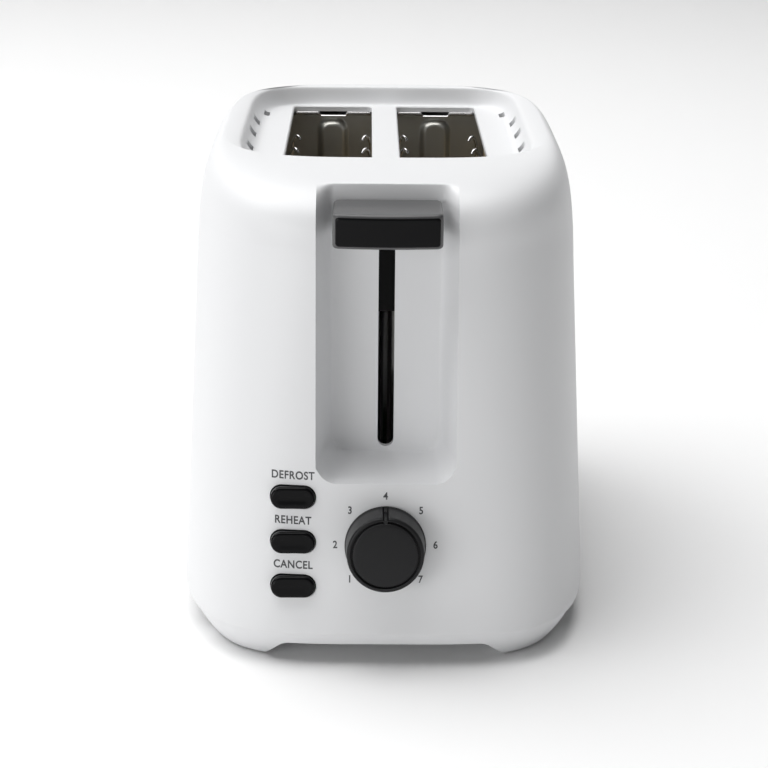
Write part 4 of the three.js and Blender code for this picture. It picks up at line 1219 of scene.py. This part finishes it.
# ---- Toasting bay ---------------------------------------------------------------------------
@dataclass(frozen=True)
class ToastBay:
    """The pressed rear plate, the reflectors and the bent wire guards seen through the slots."""

    plate_y: float = 99.2
    plate_half: float = 53.0
    plate_low: float = 20.0
    plate_high: float = 172.4
    pad_half: float = 7.4
    pad_top: float = 170.9
    pad_edge: float = 3.2
    pad_rise: float = 3.0
    hem_high: float = 173.9
    hem_low: float = 172.3
    notch_half: float = 6.8
    wire: float = 0.65
    uprights: int = 4
    upright_pitch: float = 29.0
    last_upright: float = 58.0
    guard_low: float = 26.0
    guard_inset: float = 0.5

    def rear_plate(self) -> bpy.types.Object:
        """The plate as a height field in Y: a round-topped pad pressed forwards under each slot.

        The pad's rise is an S-curve of the distance in from the outline of an arch.
        """
        x = np.linspace(-self.plate_half, self.plate_half, 300)
        z = np.concatenate([np.linspace(self.plate_low, 150, 20), np.linspace(151, self.plate_high, 70)])
        grid_x, grid_z = np.meshgrid(x, z)
        away = np.minimum(np.abs(grid_x - BreadSlots().centre), np.abs(grid_x + BreadSlots().centre))
        above = np.maximum(grid_z - (self.pad_top - self.pad_half), 0)
        inside = self.pad_half - (away ** 2.6 + above ** 2.6) ** (1 / 2.6)
        rise = self.pad_rise * smooth_step(inside / self.pad_edge)
        grid = np.stack([grid_x, self.plate_y - rise, grid_z], axis=-1)
        return self.thickened(skin("slot_rear_plate", grid, around=False, caps=(False, False)), 0.7)

    def thickened(self, made: bpy.types.Object, thickness: float) -> bpy.types.Object:
        """Gives an open sheet its wall."""
        tidy(made, 40.0)
        wall = made.modifiers.new("wall", "SOLIDIFY")
        wall.thickness = thickness * MM
        wall.offset = 0.0
        apply_modifiers(made)
        return tidy(made, 40.0)

    def hem_strip(self, side: int) -> bpy.types.Object:
        """The bright folded strip along a plate's top, all but cut away in the middle by a notch.

        Its height at each x is scaled by 1 - 0.8 n, where n is an S-curve that is 1 in the notch.
        """
        slots = BreadSlots()
        share = np.linspace(-1, 1, 121)
        x = side * slots.centre + (slots.width / 2 - 0.7) * share
        notch = smooth_step((self.notch_half - np.abs(x - side * slots.centre)) / 1.2)
        high, low = self.hem_high, self.hem_low - 0.35 * notch
        rows = []
        for y, up in ((1.4, 1.0), (0.5, 1.0), (0.12, 0.86), (0.0, 0.6), (0.1, 0.25), (0.7, 0.0)):
            z = low + (high - low) * up * (1 - 0.8 * notch)
            rows.append(np.stack([x, np.full_like(x, slots.rear - 1.3 + y), z], axis=-1))
        name = f"slot_hem_{'left' if side < 0 else 'right'}"
        return self.thickened(skin(name, np.stack(rows), around=False, caps=(False, False)), 0.35)

    def guard(self, name: str, x: float, inward: float) -> bpy.types.Object:
        """One bread guard: uprights whose tops hook in over the slot, and two rails.

        Args:
            name: the piece's name.
            x: where the uprights stand.
            inward: +1 or -1, the way to the middle of the slot.
        """
        low, high = self.guard_low, self.plate_high - 1.4
        pieces = []
        places = self.last_upright - self.upright_pitch * np.arange(self.uprights)
        for y in places:
            corners = [(x, y, low), (x, y, high - 4.5), (x + 1.4 * inward, y - 0.5, high - 0.8),
                       (x + 2.8 * inward, y - 1.6, high - 0.6), (x + 3.6 * inward, y - 2.4, high - 2.4)]
            pieces.append(skin("wire", tube(rounded_path(corners, 1.2), self.wire, 10)))
        for z in (low, high - 42):
            rail = np.array([(x + 0.1, y, z) for y in (places[-1] - 3, places[0] + 3)])
            pieces.append(skin("rail", tube(rail, self.wire, 10)))
        return tidy(merged(name, pieces), 45.0, 1e-8)

    def reflector(self, name: str, side: int) -> bpy.types.Object:
        """A side reflector with shallow upright flutes: its depth is a row of rounded ridges."""
        low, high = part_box(f"{name}_reflector")
        x = side * abs(low[0] + high[0]) / 2 / MM
        y = np.linspace(low[1] / MM - MIDDLE_Y, high[1] / MM - MIDDLE_Y, 160)
        z = np.linspace(low[2] / MM, high[2] / MM, 24)
        grid_y, grid_z = np.meshgrid(y, z)
        flute = 0.5 * np.clip(np.cos((grid_y - y[0]) * 2 * np.pi / 20.0), 0, 1) ** 2
        edge = smooth_step((grid_z - z[0]) / 12) * smooth_step((z[-1] - grid_z) / 12)
        points = np.stack([x - side * flute * edge, grid_y, grid_z], axis=-1)
        made = skin(f"{name}_reflector_sheet", points, around=False, caps=(False, False))
        return self.thickened(made, 0.6)

    def build(self, finishes: Finishes) -> None:
        """Builds and dresses the bay."""
        finish_piece(self.rear_plate(), "root", finishes.liner, ["rear_plate"])
        slots = BreadSlots()
        reach = slots.width / 2 - self.guard_inset
        for name, side in (("left", -1), ("right", 1)):
            finish_piece(self.hem_strip(side), "root", finishes.wire)
            sheet = self.reflector(name, side)
            finish_piece(sheet, "root", finishes.liner, [f"{name}_reflector"])
            for edge, way in (("outer", 1), ("inner", -1)):
                x = side * (slots.centre + way * reach)
                made = self.guard(f"guard_{name}_{edge}", x, -side * way)
                node = f"bread_guard_{name}_{edge}"
                finish_piece(made, "root", finishes.wire, [node])


@dataclass(frozen=True)
class LiftSpring:
    """The extension spring that raises the carriage: a helix drawn in to its axis at each end."""

    x: float = -20.0
    radius: float = 3.4
    wire: float = 0.6
    turns: int = 12

    def build(self, finishes: Finishes) -> None:
        """Builds the coil and stretches it between the carriage and the chassis."""
        low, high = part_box("lift_spring")
        bottom, top = low[2] / MM, high[2] / MM
        y = (low[1] + high[1]) / 2 / MM - MIDDLE_Y
        share = np.linspace(0, 1, self.turns * 20)
        turn = 2 * np.pi * self.turns * share
        ease = np.minimum(np.minimum(share, 1 - share) * 14, 1)
        route = np.column_stack([
            self.x + self.radius * ease * np.cos(turn),
            y + self.radius * ease * np.sin(turn),
            bottom + self.wire + (top - bottom - 2 * self.wire) * share,
        ])
        made = tidy(skin("lift_spring_coil", tube(route, self.wire, 8)), 60.0)
        made.data.materials.append(finishes.steel)
        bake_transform(made)
        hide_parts("lift_spring")
        LOG.info("%s: %d faces between carriage and root", made.name, len(made.data.polygons))


@dataclass(frozen=True)
class CrumbHandle:
    """The crumb tray's handle: a rounded bar with a finger grip."""

    rounding: float = 1.4

    def build(self, finishes: Finishes) -> None:
        """Builds the bar as a rounded plan whose edges roll over, with the grip pressed into its rear."""
        low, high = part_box("crumb_tray_handle")
        middle = ((low[1] + high[1]) / 2) / MM - MIDDLE_Y
        half_x, half_y = high[0] / MM, (high[1] - low[1]) / 2 / MM
        turn = np.linspace(0, np.pi / 2, 6)
        rises = self.rounding * (1 - np.cos(turn))
        draws = self.rounding * (1 - np.sin(turn))
        bottom, top = low[2] / MM, high[2] / MM
        middles = np.linspace(bottom + 2, top - 2, 8)
        heights = np.concatenate([bottom + rises, middles, top - rises[::-1]])
        insets = np.concatenate([draws, np.zeros(8), draws[::-1]])
        outlines = []
        for height, inset in zip(heights, insets):
            line = round_rect(half_x - inset, half_y - inset, self.rounding, 6)
            share = np.linspace(0, 1, 70)[1:-1, None]
            rear = line[5] + (line[6] - line[5]) * share
            line = np.concatenate([line[:6], rear, line[6:]])
            off_middle = abs(height - (bottom + top) / 2)
            grip = smooth_step((23 - np.abs(line[:, 0])) / 4) * smooth_step(1 - off_middle / 3)
            line[:, 1] += middle - np.where(line[:, 1] > 0, 2.2 * grip, 0)
            outlines.append(line)
        made = tidy(skin("crumb_handle", stacked(outlines, heights)), 45.0)
        finish_piece(made, "crumb_drawer", finishes.shell, ["crumb_tray_handle"])


def dress_frame_nodes(finishes: Finishes) -> None:
    """Gives every CAD node that stays its finish."""
    prefixes = {
        "rubber": ("foot_pad",),
        "steel": ("base_screw", "crumb_tray", "bread_lift", "carriage_bracket", "armature_plate",
                  "magnet_core", "dial_shaft"),
        "liner": ("front_plate",),
        "mica": ("mica_card",),
        "ribbon": ("heater_ribbon",),
        "wire": ("guide_rod",),
        "copper": ("magnet_coil",),
        "board": ("control_board",),
        "satin_black": ("carriage_slider", "lever_arm", "terminal_block", "browning_pot", "cancel_switch",
                        "reheat_switch", "defrost_switch", "cord_gland"),
    }
    for name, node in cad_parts.items():
        made = node if isinstance(node, bpy.types.Object) else bpy.data.objects[name]
        for finish, starts in prefixes.items():
            if name.startswith(starts) and not made.hide_render:
                made.data.materials.clear()
                made.data.materials.append(getattr(finishes, finish))


# ---- Studio ---------------------------------------------------------------------------------
@dataclass(frozen=True)
class Studio:
    """A white floor and backdrop, soft panels, and the camera."""

    distance: float = 827.9
    height: float = 341.5
    pitch: float = 18.01
    yaw: float = -0.53
    roll: float = 0.5
    side_step: float = -7.5
    lens: float = 93.75
    sky: float = 0.1
    paper: float = 0.93

    def camera(self) -> None:
        """Stands the camera in front of the lever, looking down a little."""
        seen = bpy.data.cameras.new("camera")
        seen.lens = self.lens
        seen.clip_end = 20
        holder = add_object("camera", seen)
        holder.location = (self.side_step * MM, (-self.distance + MIDDLE_Y) * MM, self.height * MM)
        look = Euler((math.radians(90 - self.pitch), 0, math.radians(self.yaw)), "XYZ").to_matrix()
        spin = Euler((0, 0, math.radians(self.roll)), "XYZ").to_matrix()
        holder.rotation_euler = (look @ spin).to_euler()
        bpy.context.scene.camera = holder

    def floor(self) -> None:
        """A sheet that runs level and then curves up behind, in a plain pale finish."""
        level = np.linspace(-3.0, 2.2, 12)
        turn = np.linspace(0, np.pi / 2, 16)[1:]
        y = np.concatenate([level, 2.2 + 0.8 * np.sin(turn), [3.0]])
        z = np.concatenate([np.zeros_like(level), 0.8 * (1 - np.cos(turn)), [3.5]])
        x = np.linspace(-4, 4, 9)
        level_grid = np.zeros((len(y), len(x)))
        grid = np.stack([part + level_grid for part in (x, y[:, None], z[:, None])], -1) / MM
        grid[..., 1] -= MIDDLE_Y
        made = skin("floor", grid, around=False, caps=(False, False))
        made.data.shade_smooth()
        graph = Graph("floor_paper")
        graph.set(
            Base_Color=(self.paper, self.paper, self.paper, 1),
            Roughness=0.9,
            Specular_IOR_Level=0.1,
        )
        made.data.materials.append(graph.material)

    def panel(self, name: str, place: Sequence[float], size: Sequence[float], power: float) -> None:
        """One soft rectangular light aimed at the toaster."""
        light = bpy.data.lights.new(name, "AREA")
        light.shape = "RECTANGLE"
        light.size, light.size_y = size
        light.energy = power
        holder = add_object(name, light)
        holder.location = place
        aim = Vector((0, 0, 0.09)) - Vector(place)
        holder.rotation_euler = aim.to_track_quat("-Z", "Y").to_euler()

    def build(self) -> None:
        """Sets the stage."""
        self.camera()
        self.floor()
        world = bpy.data.worlds.new("studio")
        world.use_nodes = True
        sky = world.node_tree.nodes["Background"].inputs
        sky["Color"].default_value = (1, 1, 1, 1)
        sky["Strength"].default_value = self.sky
        bpy.context.scene.world = world
        bpy.context.scene.view_settings.view_transform = "Standard"
        self.panel("over", (-0.8, 0.2, 2.5), (2.8, 3.4), 103)
        self.panel("front_left", (-1.2, -1.5, 0.35), (1.2, 0.7), 9.5)


def main() -> None:
    """Builds the toaster piece by piece, then the studio."""
    logging.basicConfig(level=logging.INFO, format="%(name)s: %(message)s")
    finishes = Finishes.make()
    housing = Housing()
    Studio().build()
    housing.build(finishes)
    BaseBand().build(housing, finishes)
    Lever().build(finishes)
    Dial().build(housing, finishes)
    Keys().build(housing, finishes)
    Legends().build(housing, finishes)
    ToastBay().build(finishes)
    LiftSpring().build(finishes)
    CrumbHandle().build(finishes)
    dress_frame_nodes(finishes)


if __name__ == "__main__":
    main()
